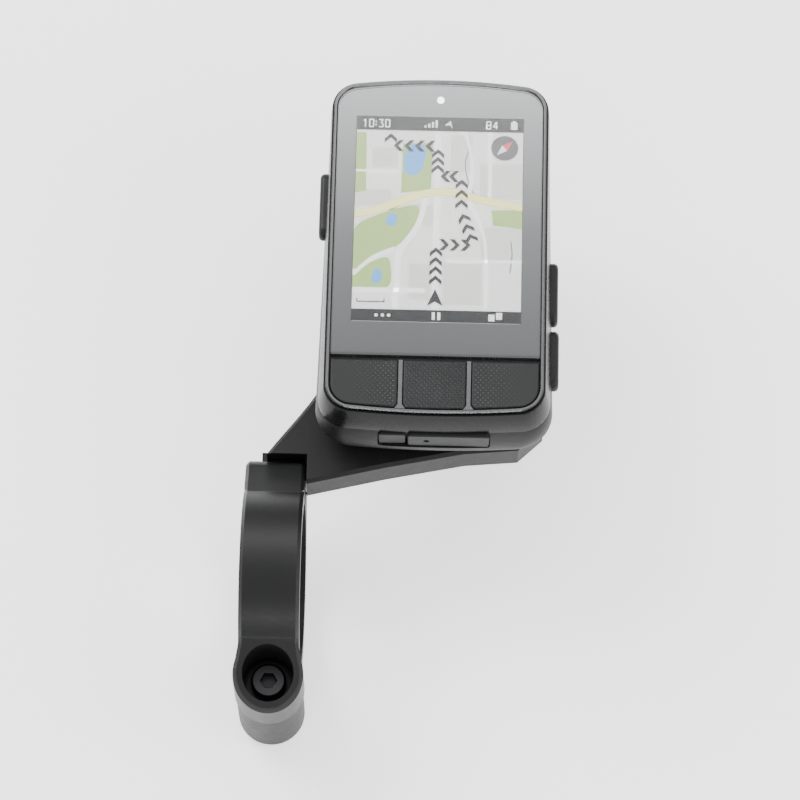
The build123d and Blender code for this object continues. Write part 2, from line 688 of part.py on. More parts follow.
# ---------------------------------------------------------------- rubber flap over the socket
def usb_cover():
    """The moving part of the flap: a plate with a plug that fills the socket's mouth."""
    mid = (FLAP_HINGE + FLAP_RIGHT) / 2
    height = FLAP_HIGH - FLAP_LOW
    centre_z = (FLAP_LOW + FLAP_HIGH) / 2
    with BuildPart() as flap:
        with BuildSketch(flap_plane(FLAP_PLANE)):
            with Locations((mid + 0.1, centre_z)):
                RectangleRounded(FLAP_RIGHT - FLAP_HINGE - 0.2, height, 0.7)
        extrude(amount=FLAP_T)
        fillet(flap.faces().sort_by(Axis.Y)[0].edges(), 0.35)
        with BuildSketch(flap_plane(FLAP_PLANE - FLAP_T)):
            with Locations((DIMPLE_U, USB_Z)):
                Circle(DIMPLE_R)
        extrude(amount=-DIMPLE_DEPTH, mode=Mode.SUBTRACT)
        with BuildSketch(flap_plane(FLAP_PLANE)):
            with Locations((USB_U + 0.2, USB_Z)):
                SlotOverall(*FLAP_PLUG[:2])
        extrude(amount=-FLAP_PLUG[2])
    return save(flap.part, "usb_cover")


def usb_cover_anchor():
    """The fixed end of the flap, pressed into the recess beside the socket."""
    height = FLAP_HIGH - FLAP_LOW
    with BuildPart() as anchor:
        with BuildSketch(flap_plane(FLAP_PLANE)):
            with Locations(((FLAP_LEFT + FLAP_HINGE) / 2 - 0.1, (FLAP_LOW + FLAP_HIGH) / 2)):
                RectangleRounded(FLAP_HINGE - FLAP_LEFT - 0.2, height - 0.6, 0.6)
        extrude(amount=FLAP_T - 0.3)
        fillet(anchor.faces().sort_by(Axis.Y)[0].edges(), 0.25)
    return save(anchor.part, "usb_cover_anchor")


# ---------------------------------------------------------------- fasteners of the case and the twist lock
def screw(head_r, head_low, head_h, shank_r, top, drive):
    """A small machine screw that points up, with a hexagonal drive in the head's underside."""
    with BuildPart() as made:
        with BuildSketch(Plane((0, 0, head_low))):
            Circle(head_r)
        extrude(amount=head_h)
        with BuildSketch(Plane((0, 0, head_low + head_h))):
            Circle(shank_r)
        extrude(amount=top - head_low - head_h)
        with BuildSketch(Plane((0, 0, head_low))):
            RegularPolygon(drive, 6)
        extrude(amount=head_h * 0.6, mode=Mode.SUBTRACT)
    return made.part


def screw_group(name, centres, *sizes):
    """Identical screws at the given places, as one node."""
    one = screw(*sizes)
    with BuildPart() as group:
        with Locations(*centres):
            add(one)
    return save(group.part, name)


def polar(radius, count, start):
    """Places on a circle round the twist axis."""
    steps = [radians(start + 360 / count * i) for i in range(count)]
    return [(DEV_X + radius * cos(a), DEV_Y + radius * sin(a)) for a in steps]


def sector(radius, centre_deg, half_deg):
    """A pie slice."""
    first, last = radians(centre_deg - half_deg), radians(centre_deg + half_deg)
    middle = radians(centre_deg)
    ends = [(radius * cos(a), radius * sin(a)) for a in (first, middle, last)]
    with BuildSketch(Plane.XY) as slice_sketch:
        with BuildLine():
            Line((0, 0), ends[0])
            ThreePointArc(*ends)
            Line(ends[2], (0, 0))
        make_face()
    return slice_sketch.sketch


def twist_insert():
    """The male half of the twist lock: flange, neck and two tabs."""
    with BuildPart() as insert:
        with BuildSketch(dev(TWIST_FLANGE_Z)):
            Circle(TWIST_FLANGE_R)
        extrude(amount=CASE_Z + TWIST_SEAT_DEPTH - TWIST_FLANGE_Z)
        with BuildSketch(dev(TWIST_TAB_Z)):
            Circle(TWIST_NECK_R)
        extrude(amount=TWIST_FLANGE_Z - TWIST_TAB_Z)
        with BuildSketch(dev(TWIST_TAB_Z)):
            add(sector(TWIST_TAB_R, 0, TWIST_TAB_HALF))
            add(sector(TWIST_TAB_R, 180, TWIST_TAB_HALF))
        extrude(amount=TWIST_TAB_T)
        with BuildSketch(dev(TWIST_TAB_Z)):
            Circle(TWIST_RECESS_R)
        extrude(amount=TWIST_RECESS_DEPTH, mode=Mode.SUBTRACT)
        with BuildSketch(dev(TWIST_FLANGE_Z)):
            with PolarLocations(INSERT_SCREW_RING, 4, start_angle=SCREW_TURN):
                Circle(1.55)
        extrude(amount=0.7, mode=Mode.SUBTRACT)
        with BuildSketch(dev(TWIST_FLANGE_Z)):
            with PolarLocations(INSERT_SCREW_RING, 4, start_angle=SCREW_TURN):
                Circle(INSERT_SCREW_R + 0.1)
        extrude(amount=2, mode=Mode.SUBTRACT)
    return save(insert.part, "twist_insert")


def lock_ring():
    """The female half: a chamber that the tabs turn in, under two ledges, with stops at both ends."""
    with BuildPart() as ring:
        with BuildSketch(dev(LOCK_RING_Z)):
            Circle(LOCK_RING_R)
        extrude(amount=MOUNT_TOP_Z - LOCK_RING_Z)
        chamfer(ring.edges().filter_by(GeomType.CIRCLE).sort_by(Axis.Z)[-1], 0.4)
        with BuildSketch(dev(CHAMBER_LOW_Z)):
            Circle(TWIST_CHAMBER_R + CHAMBER_PLAY)
        extrude(amount=CHAMBER_HIGH_Z - CHAMBER_LOW_Z, mode=Mode.SUBTRACT)
        with BuildSketch(dev(6.0)):
            Circle(TWIST_NECK_R + NECK_PLAY)
            add(sector(TWIST_CHAMBER_R, 90, ENTRY_HALF))
            add(sector(TWIST_CHAMBER_R, 270, ENTRY_HALF))
        extrude(amount=5, mode=Mode.SUBTRACT)
        with BuildSketch(dev(STOP_LOW_Z)):
            add(sector(TWIST_CHAMBER_R + 0.5, STOP_AT, STOP_HALF))
            add(sector(TWIST_CHAMBER_R + 0.5, STOP_AT + 180, STOP_HALF))
            Circle(TWIST_NECK_R + NECK_PLAY, mode=Mode.SUBTRACT)
        extrude(amount=STOP_H)
        with BuildSketch(dev(LOCK_RING_Z)):
            Circle(DRAIN_R)
        extrude(amount=3, mode=Mode.SUBTRACT)
        with BuildSketch(dev(LOCK_RING_Z)):
            with PolarLocations(LOCK_SCREW_RING, 4, start_angle=SCREW_TURN):
                Circle(INSERT_SCREW_R)
        extrude(amount=4, mode=Mode.SUBTRACT)
    return save(ring.part, "lock_ring")


# ---------------------------------------------------------------- the mount and its clamp
def side_plane(x):
    """A sketch plane across the bar at x, with its own x forwards and its y up."""
    return Plane((x, 0, 0), x_dir=(0, 1, 0), z_dir=(1, 0, 0))


def ring_sector(inner, outer, start, end):
    """A stretch of ring between two angles, counted from forwards over the top."""
    angles = [radians(start), radians((start + end) / 2), radians(end)]
    far = [(outer * cos(a), outer * sin(a)) for a in angles]
    near = [(inner * cos(a), inner * sin(a)) for a in reversed(angles)]
    with BuildSketch(Plane.XY) as stretch:
        with BuildLine():
            ThreePointArc(*far)
            Line(far[2], near[0])
            ThreePointArc(*near)
            Line(near[2], far[0])
        make_face()
    return stretch.sketch


def polygon(*points):
    """A face with straight edges."""
    with BuildSketch(Plane.XY) as shape:
        with BuildLine():
            Polyline(*points, close=True)
        make_face()
    return shape.sketch


def lug(low, high, radius, reach):
    """A round-ended lug behind the bar: as wide as the jaw at its root, wider round the bolt."""
    half = CLAMP_W / 2
    sides = [(half, reach), (half, LUG_NECK_Y), (radius, BOLT_Y)]
    with BuildPart() as made:
        with BuildSketch(Plane((0, 0, low))):
            add(polygon(*sides, *[(-x, y) for x, y in reversed(sides)]))
            with Locations((0, BOLT_Y)):
                Circle(radius)
        extrude(amount=high - low)
    return made.part


def across(width, profile):
    """A side profile given a width along the bar, centred on the clamp."""
    with BuildPart() as made:
        with BuildSketch(side_plane(-width / 2)):
            add(profile)
        extrude(amount=width)
    return made.part


def disc_x(radius, low, high):
    """A cylinder along the hinge pin's axis, from x = low to high."""
    with BuildPart() as made:
        with BuildSketch(side_plane(low)):
            with Locations((PIVOT_Y, PIVOT_Z)):
                Circle(radius)
        extrude(amount=high - low)
    return made.part


def bar_bore(width):
    """The handlebar's room."""
    with BuildPart() as bore:
        with BuildSketch(side_plane(-width / 2)):
            Circle(BAR_R)
        extrude(amount=width)
    return bore.part


def upper_lug():
    """The band's lug: a sloping top with a softened rim."""
    crest_y, crest_z = LUG_CREST
    back_y, back_z = LUG_BACK
    above = ((crest_y + 5, crest_z), (crest_y + 5, 30.0), (back_y - 5, 30.0), (back_y - 5, 2.0))
    with BuildPart() as made:
        add(lug(SPLIT_TOP, crest_z, LUG_R, reach=-11.0))
        add(across(20, polygon(LUG_CREST, *above, (back_y, back_z))), mode=Mode.SUBTRACT)
        rim = made.faces().filter_by(Axis.Z, reverse=True).sort_by(Axis.Z)[-1]
        chamfer(rim.edges().sort_by(Axis.Y)[0:5], 0.8)
    return made.part


def strap():
    """The strap over the bar, bevelled along both edges."""
    half = CLAMP_W / 2
    start = radians(BAND_START)
    low = (half, BAR_R - 1)
    shoulder = (half, JAW_R - STRAP_BEVEL)
    crown = (half - STRAP_BEVEL, JAW_R)
    mirrored = [(-x, y) for x, y in (crown, shoulder, low)]
    with BuildPart() as made:
        with BuildSketch(Plane((0, 0, 0), x_dir=(1, 0, 0), z_dir=(0, -sin(start), cos(start)))):
            add(polygon(low, shoulder, crown, *mirrored))
        revolve(axis=Axis.X, revolution_arc=BAND_END - BAND_START)
    return made.part


def ears():
    """The strap's front end with the two ears still joined, its outer corners bevelled like the strap's."""
    half = CLAMP_W / 2
    with BuildPart() as made:
        add(disc_x(EAR_R, -half, half))
        add(across(CLAMP_W, band_web()))
        sides = made.faces().filter_by(Axis.X).sort_by(Axis.X)
        chamfer(sides[0].edges() + sides[-1].edges(), STRAP_BEVEL)
    return made.part


def clamp_band():
    """The hinged upper jaw: a strap over the bar, two ears at the pin and the bolt's lug."""
    mid = MID_KNUCKLE_W / 2 + EAR_GAP
    with BuildPart() as band:
        add(strap())
        add(upper_lug())
        add(ears())
        add(bar_bore(THROUGH), mode=Mode.SUBTRACT)
        add(disc_x(KNUCKLE_R + KNUCKLE_CLEAR, -mid, mid), mode=Mode.SUBTRACT)
        add(across(2 * mid, knuckle_room()), mode=Mode.SUBTRACT)
        add(disc_x(PIN_R + 0.03, -10, 10), mode=Mode.SUBTRACT)
        # below the split, nothing of the strap is left
        with Locations((0, -24, SPLIT_TOP - 10)):
            Box(30, 20, 20, mode=Mode.SUBTRACT)
        with BuildSketch(Plane((0, 0, LUG_SEAT_Z))):
            with Locations((0, BOLT_Y)):
                Circle(COUNTERBORE_R)
        extrude(amount=30, mode=Mode.SUBTRACT)
        with BuildSketch(Plane((0, 0, SPLIT_TOP - 1))):
            with Locations((0, BOLT_Y)):
                Circle(2.75)
        extrude(amount=5, mode=Mode.SUBTRACT)
    return save(band.part, "clamp_band")


def band_web():
    """The metal between the strap's front end and the ears, in the side view."""
    reach = EAR_R
    a = radians(BAND_START + 14)
    start = (JAW_R * cos(a), JAW_R * sin(a))
    inner = (17.2 * cos(radians(BAND_START)), 17.2 * sin(radians(BAND_START)))
    top = (PIVOT_Y + reach * cos(radians(70)), PIVOT_Z + reach * sin(radians(70)))
    return polygon(start, top, (PIVOT_Y, PIVOT_Z), inner)


def around_pivot(angle, radius=8.0):
    """A point beside the hinge pin, in the side view."""
    return (PIVOT_Y + radius * cos(radians(angle)), PIVOT_Z + radius * sin(radians(angle)))


def knuckle_room():
    """The gap between the ears, open below and in front, that the mount's knuckle and neck need."""
    return polygon((PIVOT_Y, PIVOT_Z), around_pivot(196), around_pivot(270, 12), around_pivot(28))


def on_head(angle):
    """A point on the round head's edge, seen from above."""
    return (DEV_X + HEAD_R * cos(radians(angle)), DEV_Y + HEAD_R * sin(radians(angle)))


def plan_outline():
    """The mount seen from above: the clamp's root, the sweeping left edge, the round head and the wing."""
    half = CLAMP_W / 2
    leaving = (sin(radians(HEAD_TOUCH_LEFT)), -cos(radians(HEAD_TOUCH_LEFT)))
    left, right = on_head(HEAD_TOUCH_LEFT), on_head(HEAD_TOUCH_RIGHT)
    with BuildSketch(Plane.XY) as plan:
        with BuildLine():
            Spline(*LEFT_EDGE, left, tangents=((0.5, 0.86), leaving))
            ThreePointArc(left, on_head(90), on_head(0))
            ThreePointArc(on_head(0), on_head(HEAD_TOUCH_RIGHT / 2), right)
            Polyline(right, *WING_EDGE, (half, ROOT_Y), LEFT_EDGE[0])
        make_face()
    return plan.sketch


def nut_tower():
    """The round tower under the split that holds the brass nut, joined to the lower jaw."""
    with BuildPart() as tower:
        with BuildSketch(Plane((0, 0, NUT_TOWER_Z))):
            with Locations((0, BOLT_Y)):
                Circle(LOW_LUG_R)
        extrude(amount=SPLIT_LOW - NUT_TOWER_Z)
        fillet(tower.faces().sort_by(Axis.Z)[0].edges(), TOWER_ROUND)
        with BuildSketch(Plane((0, 0, NUT_TOWER_Z + TOWER_ROUND))):
            with Locations((0, (BOLT_Y - 14.0) / 2)):
                Rectangle(CLAMP_W, -14.0 - BOLT_Y)
        extrude(amount=SPLIT_LOW - NUT_TOWER_Z - TOWER_ROUND)
    return tower.part


def arm_plate():
    """The flat arm with its round head, chamfered round its edge and ribbed under the wing."""
    with BuildPart() as plate:
        with BuildSketch(Plane((0, 0, MOUNT_LOW_Z))):
            add(plan_outline())
        extrude(amount=MOUNT_TOP_Z - MOUNT_LOW_Z)
        faces = plate.faces().sort_by(Axis.Z)
        chamfer(faces[-1].edges() + faces[0].edges(), ARM_CHAMFER)
        for pocket in WING_POCKETS:
            with BuildSketch(Plane((0, 0, MOUNT_LOW_Z))) as room:
                add(polygon(*pocket))
                fillet(room.vertices(), POCKET_ROUND)
            extrude(amount=MOUNT_TOP_Z - MOUNT_LOW_Z - POCKET_SKIN, mode=Mode.SUBTRACT)
    return plate.part


def arm_root():
    """The deep root that carries the arm off the lower jaw, kept within the arm's plan."""
    with BuildPart() as footprint:
        with BuildSketch(Plane((0, 0, NUT_TOWER_Z))):
            add(plan_outline())
        extrude(amount=MOUNT_TOP_Z - NUT_TOWER_Z)
    return across(ROOT_W, root_profile()) & footprint.part


def bolt_room():
    """The bolt's and the brass nut's room in the tower, and the open gap above it."""
    with BuildPart() as room:
        with BuildSketch(Plane((0, 0, BOLT_ROOM_Z))):
            with Locations((0, BOLT_Y)):
                Circle(BOLT_ROOM_R)
        extrude(amount=THROUGH)
        with BuildSketch(Plane((0, 0, INSERT_LOW))):
            with Locations((0, BOLT_Y)):
                Circle(INSERT_R)
        extrude(amount=THROUGH)
        with Locations((0, -24, SPLIT_LOW + 10)):
            Box(30, 20, 20)
    return room.part


def ring_pocket():
    """The lock ring's pocket in the head, with holes for its screws and a drain."""
    with BuildPart() as pocket:
        with BuildSketch(dev(LOCK_RING_Z)):
            Circle(LOCK_RING_R + 0.05)
        extrude(amount=10)
        with BuildSketch(dev(MOUNT_LOW_Z)):
            with PolarLocations(LOCK_SCREW_RING, 4, start_angle=SCREW_TURN):
                Circle(LOCK_SCREW_HEAD_R + 0.05)
        extrude(amount=LOCK_SCREW_HEAD_H + 0.1)
        with BuildSketch(dev(MOUNT_LOW_Z)):
            Circle(DRAIN_R)
            with PolarLocations(LOCK_SCREW_RING, 4, start_angle=SCREW_TURN):
                Circle(INSERT_SCREW_R + 0.15)
        extrude(amount=5)
    return pocket.part


def mount_arm():
    """The mount: lower jaw, arm, round head with the lock ring's pocket, and the nut's tower."""
    half = CLAMP_W / 2
    clear = EAR_R + KNUCKLE_CLEAR
    with BuildPart() as arm:
        add(arm_plate())
        add(arm_root())
        add(across(CLAMP_W, ring_sector(BAR_R - 1, JAW_R, JAW_END, JAW_START)))
        add(across(CLAMP_W, polygon(*JAW_BLEND)))
        add(nut_tower())
        # clearance round the hinge, and the mount's own knuckle back inside it
        add(disc_x(clear, -half - 0.3, half + 0.3), mode=Mode.SUBTRACT)
        add(across(CLAMP_W + 0.6, band_room()), mode=Mode.SUBTRACT)
        add(across(MID_KNUCKLE_W, knuckle_neck()))
        add(disc_x(KNUCKLE_R, -MID_KNUCKLE_W / 2, MID_KNUCKLE_W / 2))
        add(disc_x(PIN_R, -half, half), mode=Mode.SUBTRACT)
        add(bar_bore(THROUGH), mode=Mode.SUBTRACT)
        add(bolt_room(), mode=Mode.SUBTRACT)
        add(ring_pocket(), mode=Mode.SUBTRACT)
    return save(arm.part, "mount_arm")


def root_profile():
    """The arm's deep root in the side view, running out into the plate."""
    return polygon((18.01, -10.1), (27.0, -5.0), (42.0, MOUNT_LOW_Z), (42.0, 5.0), (18.01, 5.0))


def band_room():
    """What the band and its ears sweep through as the clamp opens, in the side view."""
    front = PIVOT_Y + EAR_R + KNUCKLE_CLEAR
    hinge = ((PIVOT_Y, PIVOT_Z), (front, PIVOT_Z), (front, 14.0))
    return polygon((10.0, 6.2), (16.6, 5.0), *hinge, (10.0, 14.0))


def knuckle_neck():
    """What joins the mount's knuckle to the root, in the side view."""
    return polygon((16.5, -2.5), (26.0, -2.5), (26.0, PIVOT_Z), (PIVOT_Y, PIVOT_Z), (17.4, 2.2))


def threaded_insert():
    """The brass nut pressed into the tower."""
    with BuildPart() as insert:
        with BuildSketch(Plane((0, 0, INSERT_LOW))):
            with Locations((0, BOLT_Y)):
                Circle(INSERT_R)
                Circle(BOLT_R + 0.05, mode=Mode.SUBTRACT)
        extrude(amount=INSERT_L)
    return save(insert.part, "threaded_insert")


def clamp_bolt():
    """An M4 socket head bolt, head up."""
    seat = LUG_SEAT_Z + WASHER_T
    with BuildPart() as bolt:
        with BuildSketch(Plane((0, 0, seat))):
            with Locations((0, BOLT_Y)):
                Circle(BOLT_HEAD_R)
        extrude(amount=BOLT_HEAD_H)
        chamfer(bolt.edges().filter_by(GeomType.CIRCLE).sort_by(Axis.Z)[-1], 0.4)
        with BuildSketch(Plane((0, 0, seat + BOLT_HEAD_H))):
            with Locations((0, BOLT_Y)):
                RegularPolygon(BOLT_SOCKET_R, 6, major_radius=False)
        extrude(amount=-BOLT_SOCKET_DEPTH, mode=Mode.SUBTRACT)
        with BuildSketch(Plane((0, 0, seat))):
            with Locations((0, BOLT_Y)):
                Circle(BOLT_R)
        extrude(amount=-BOLT_LENGTH)
        chamfer(bolt.edges().filter_by(GeomType.CIRCLE).sort_by(Axis.Z)[0], 0.4)
    return save(bolt.part, "clamp_bolt")


def bolt_washer():
    """The washer under the bolt's head."""
    with BuildPart() as washer:
        with BuildSketch(Plane((0, 0, LUG_SEAT_Z))):
            with Locations((0, BOLT_Y)):
                Circle(WASHER_R)
                Circle(BOLT_R + 0.1, mode=Mode.SUBTRACT)
        extrude(amount=WASHER_T)
    return save(washer.part, "bolt_washer")


def hinge_pin():
    """The steel pin that the band turns on."""
    half = CLAMP_W / 2 - 0.2
    with BuildPart() as pin:
        add(disc_x(PIN_R, -half, half))
        chamfer(pin.edges().filter_by(GeomType.CIRCLE), 0.2)
    return save(pin.part, "hinge_pin")


def main():
    """Makes every piece."""
    os.makedirs("parts", exist_ok=True)
    mount_arm()
    clamp_band()
    hinge_pin()
    clamp_bolt()
    bolt_washer()
    threaded_insert()
    lock_ring()
    twist_insert()
    screw_group("lock_ring_screws", polar(LOCK_SCREW_RING, 4, SCREW_TURN), *LOCK_SCREW)
    screw_group("insert_screws", polar(INSERT_SCREW_RING, 4, SCREW_TURN), *INSERT_SCREW)
    case_places = [(DEV_X + u, DEV_Y + v) for u, v in CASE_POSTS]
    screw_group("case_screws", case_places, *CASE_SCREW)
    rear_shell()
    case_gasket()
    front_shell()
    bezel_ring()
    lens()
    lens_adhesive()
    slab("display_panel", *PANEL)
    slab("display_backlight", *BACKLIGHT)
    display_tray()
    status_light()
    for index in range(3):
        front_key(index)
    key_seal()
    key_switches()
    for name, side, v, length in SIDE_KEYS:
        save(side_key(side, v, length), name)
    side_switches()
    main_board()
    shield_can()
    antenna()
    buzzer()
    usb_socket()
    battery()
    vent_membrane()
    usb_cover()
    usb_cover_anchor()


main()
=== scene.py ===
"""The looks of the cycling computer and its out-front mount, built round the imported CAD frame."""

import json
import math

import bmesh
import bpy
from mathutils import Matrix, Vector

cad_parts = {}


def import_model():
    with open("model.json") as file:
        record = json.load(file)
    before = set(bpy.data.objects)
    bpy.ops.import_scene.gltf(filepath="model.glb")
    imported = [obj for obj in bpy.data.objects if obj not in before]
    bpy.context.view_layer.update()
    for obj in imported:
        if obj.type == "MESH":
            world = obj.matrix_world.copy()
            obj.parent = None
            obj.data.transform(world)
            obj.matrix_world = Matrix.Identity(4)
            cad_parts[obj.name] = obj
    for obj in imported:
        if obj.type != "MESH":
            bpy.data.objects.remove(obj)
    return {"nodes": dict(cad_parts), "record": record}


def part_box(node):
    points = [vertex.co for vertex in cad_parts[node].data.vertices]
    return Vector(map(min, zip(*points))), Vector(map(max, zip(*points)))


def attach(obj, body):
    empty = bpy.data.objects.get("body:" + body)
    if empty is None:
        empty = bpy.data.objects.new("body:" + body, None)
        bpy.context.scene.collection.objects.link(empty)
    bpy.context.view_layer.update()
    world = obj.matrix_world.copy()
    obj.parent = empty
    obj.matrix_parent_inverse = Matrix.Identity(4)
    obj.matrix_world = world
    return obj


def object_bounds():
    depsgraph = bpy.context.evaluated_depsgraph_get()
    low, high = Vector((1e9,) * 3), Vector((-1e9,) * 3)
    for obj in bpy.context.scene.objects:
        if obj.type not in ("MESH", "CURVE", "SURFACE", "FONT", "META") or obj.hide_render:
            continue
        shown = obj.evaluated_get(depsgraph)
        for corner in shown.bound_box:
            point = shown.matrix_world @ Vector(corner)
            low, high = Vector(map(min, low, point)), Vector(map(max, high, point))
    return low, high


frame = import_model()
cad_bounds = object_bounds()

MM = 0.001
NODES = frame["nodes"]
SLOT_OF = {part["node"]: part["material_slot"] for part in frame["record"]["subparts"]}

# nodes that look different from the others in their slot
LOOKS = {"front_shell": "case_gloss", "clamp_band": "band_plastic", "bolt_washer": "bolt_steel"}
# plates that stay flat-shaded and sharp, so that the glass mirrors cleanly
FLAT = ("lens", "lens_adhesive", "display_panel", "display_backlight", "main_board", "status_light")

# how far hard edges are rounded, in millimetres
EDGE = {
    "mount_arm": 0.3,
    "clamp_band": 0.3,
    "rear_shell": 0.12,
    "front_shell": 0.1,
    "lock_ring": 0.15,
    "clamp_bolt": 0.08,
    "usb_cover": 0.1,
    "bezel_ring": 0.06,
}
OTHER_EDGE = 0.05
EDGE_ANGLE = math.radians(28)  # sharper edges than this are rounded
FLAT_ANGLE = math.radians(0.6)  # triangles within this of each other are one face
WELD_REACH = 1e-6

# moulded materials: colour, roughness, and the grain's size and depth in millimetres
MOULDED = {
    "case_plastic": dict(colour=(0.006, 0.0061, 0.0064), rough=0.45, grain=0.22, depth=0.006, spec=0.25),
    "case_gloss": dict(colour=(0.004, 0.004, 0.0043), rough=0.26, grain=0.5, depth=0.0012, spec=0.2),
    "mount_plastic": dict(colour=(0.0065, 0.0066, 0.0068), rough=0.46, grain=0.3, depth=0.011, spec=0.22),
    "band_plastic": dict(colour=(0.0075, 0.0076, 0.0078), rough=0.38, grain=0.28, depth=0.008, spec=0.28),
    "lock_plastic": dict(colour=(0.035, 0.035, 0.037), rough=0.38, grain=0.4, depth=0.006),
    "key_rubber": dict(
        colour=(0.011, 0.0112, 0.0117), rough=0.48, grain=0.16, depth=0.005, sheen=0.03, spec=0.3
    ),
    # the keys' knurl and dots: glossier than the keys' rubber, and lighter as a painted highlight on the
    # raised points
    "key_grip_painted_highlight": dict(colour=(0.03, 0.0305, 0.0315), rough=0.36, grain=0.12, depth=0.003),
    "flap_rubber": dict(
        colour=(0.009, 0.0092, 0.0095), rough=0.52, grain=0.16, depth=0.006, sheen=0.03, spec=0.28
    ),
    "seal_rubber": dict(colour=(0.012, 0.012, 0.012), rough=0.65, grain=0.2, depth=0.004, sheen=0.1),
    "white_plastic": dict(colour=(0.8, 0.8, 0.78), rough=0.5, grain=0.4, depth=0.004, wear=1.05),
    "switch_plastic": dict(colour=(0.06, 0.06, 0.062), rough=0.45, grain=0.3, depth=0.004),
    "ceramic_block": dict(colour=(0.72, 0.69, 0.6), rough=0.5, grain=0.15, depth=0.004, wear=1.08),
    "display": dict(colour=(0.1, 0.11, 0.11), rough=0.25, grain=0.4, depth=0.0008),
}
DRIFT_SIZE = 14 * MM  # the patches of a moulding's colour drift
MARK_SIZE = 3.2 * MM  # the patches that handling leaves in its gloss
FINE_GRAIN = 0.45  # the second grain's size, as a share of the first

# metals: colour, roughness, and the brushing's size and depth in millimetres where they differ
METALS = {
    "bezel_metal": dict(colour=(0.115, 0.117, 0.12), rough=0.24),
    "steel": dict(colour=(0.5, 0.5, 0.51), rough=0.35),
    "bolt_steel": dict(colour=(0.035, 0.035, 0.037), rough=0.34, brushed=0.25, depth=0.004),
    "brass": dict(colour=(0.72, 0.52, 0.24), rough=0.32),
    "battery_foil": dict(colour=(0.62, 0.63, 0.65), rough=0.42, brushed=1.4, depth=0.05),
}
PATCH_SIZE = 2.5 * MM  # a metal's duller patches

# what lies under the cover glass glows, because the glass keeps the lights off it: the screen's picture and
# the light pipe as they do when lit, the lens border as painted light
PIPE_GLOW = 5.0
GLOW = 1.15
BORDER_GLOW = 1.1
# the lens border's greys, lighter towards the front end, are a painted reflection of the studio on a border
# that is black
BORDER_PAINTED_REFLECTION = [(0.0, (0.15, 0.151, 0.154)), (0.45, (0.22, 0.222, 0.226)), (1.0, (0.46, 0.463, 0.468))]

lens_low, lens_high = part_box("lens")
panel_low, panel_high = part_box("display_panel")
SCREEN_W, SCREEN_H = 33.6 * MM, 44.8 * MM
SCREEN = Vector(((panel_low.x + panel_high.x) / 2, (panel_low.y + panel_high.y) / 2, panel_high.z))
LAYER = 0.022 * MM  # how far each layer of the picture lies over the one below
PIXEL = 0.14 * MM
PIXEL_GAP = 0.07 * PIXEL

# the screen's picture, in millimetres from the middle of the lit area
HALF_W, HALF_H = SCREEN_W / MM / 2, SCREEN_H / MM / 2
BAR_TOP = HALF_H - 3.0
BAR_LOW = -HALF_H + 2.6
BLOCKS = [
    (-13.6, 11.2, -8.4, 15.6),
    (2.2, 10.4, 6.6, 18.6),
    (8.2, 4.6, 16.8, 12.4),
    (-5.8, -1.4, -1.0, 3.2),
    (8.6, -9.4, 16.8, -1.6),
    (-5.6, -17.6, -1.2, -9.8),
    (1.2, -18.6, 9.0, -9.6),
    (-16.8, 2.6, -9.6, 6.4),
]
SQUARE_PARKS = [
    [(-7.6, 5.6), (-1.6, 6.4), (-1.4, 16.8), (-7.4, 16.6)],
    [(-16.8, 5.4), (-14.6, 6.0), (-14.8, 18.9), (-16.8, 18.9)],
    [(10.6, 2.2), (16.8, 2.4), (16.8, -1.8), (11.0, -1.2)],
]
ROUND_PARKS = [
    [(-16.8, -2.6), (-11.5, 1.0), (-4.6, 2.9), (-4.2, -0.6), (-7.6, -5.6), (-12.2, -8.2), (-16.8, -11.0)],
    [(-16.8, -12.0), (-11.0, -8.6), (-9.4, -9.8), (-9.8, -15.0), (-16.8, -15.2)],
]
PONDS = [
    [(-6.8, 10.4), (-5.0, 9.6), (-3.4, 11.2), (-2.9, 15.6), (-5.2, 16.4), (-6.9, 14.2)],
    [(-13.0, -13.6), (-11.6, -14.2), (-10.9, -12.2), (-12.2, -10.9)],
    [(-10.4, -1.0), (-8.9, -1.7), (-8.2, 0.6), (-9.8, 0.9)],
]
# winding lines and straight ones, each with its width
STREAMS = [
    ([(5.4, 19.4), (5.8, 15.4), (5.2, 12.2), (6.0, 8.0), (7.8, 4.4)], 0.22),
    ([(14.6, -4.6), (14.9, -7.6), (14.5, -11.4)], 0.25),
    ([(-13.6, 2.0), (-11.4, 2.3), (-9.6, 1.9), (-7.6, 3.2)], 0.3),
]
WINDING_ROADS = [
    ([(-8.2, -19.8), (-8.0, -14.0), (-7.6, -7.4), (-4.4, -2.0), (-2.9, 2.6), (-2.6, 5.8)], 1.05),
    ([(-16.8, -12.4), (-12.8, -8.6), (-8.6, -6.6)], 0.8),
    ([(5.2, 19.4), (6.6, 12.0), (6.4, 4.2), (9.4, -4.6), (9.8, -19.4)], 0.55),
]
STRAIGHT_ROADS = [
    ([(-0.3, -HALF_H), (-0.3, HALF_H)], 1.1),
    ([(-HALF_W, -15.6), (-2.4, -15.6)], 0.9),
    ([(10.2, 3.6), (10.2, 19.4)], 0.7),
    ([(-HALF_W, 10.4), (-8.0, 10.2)], 0.5),
    ([(2.0, -9.0), (HALF_W, -9.0)], 0.6),
]
MAIN_ROAD = [(-16.9, 0.8), (-13.0, 1.6), (-8.0, 3.6), (-2.4, 5.6), (2.8, 5.9), (8.6, 4.4), (16.9, 2.8)]
MAIN_ROAD_W, MAIN_EDGE_W = 1.5, 1.75
ROUTE = [
    (-0.3, -14.9),
    (-0.3, -5.6),
    (7.2, -5.6),
    (4.6, 1.8),
    (4.6, 9.4),
    (-0.3, 9.4),
    (-0.3, 16.0),
    (-9.9, 16.0),
    (-9.9, 19.4),
]
ARROW_GAP = 2.15
ARROW_TIP, ARROW_BACK = 1.025, -0.125  # the ends of an arrow's leading edge, ahead of its place
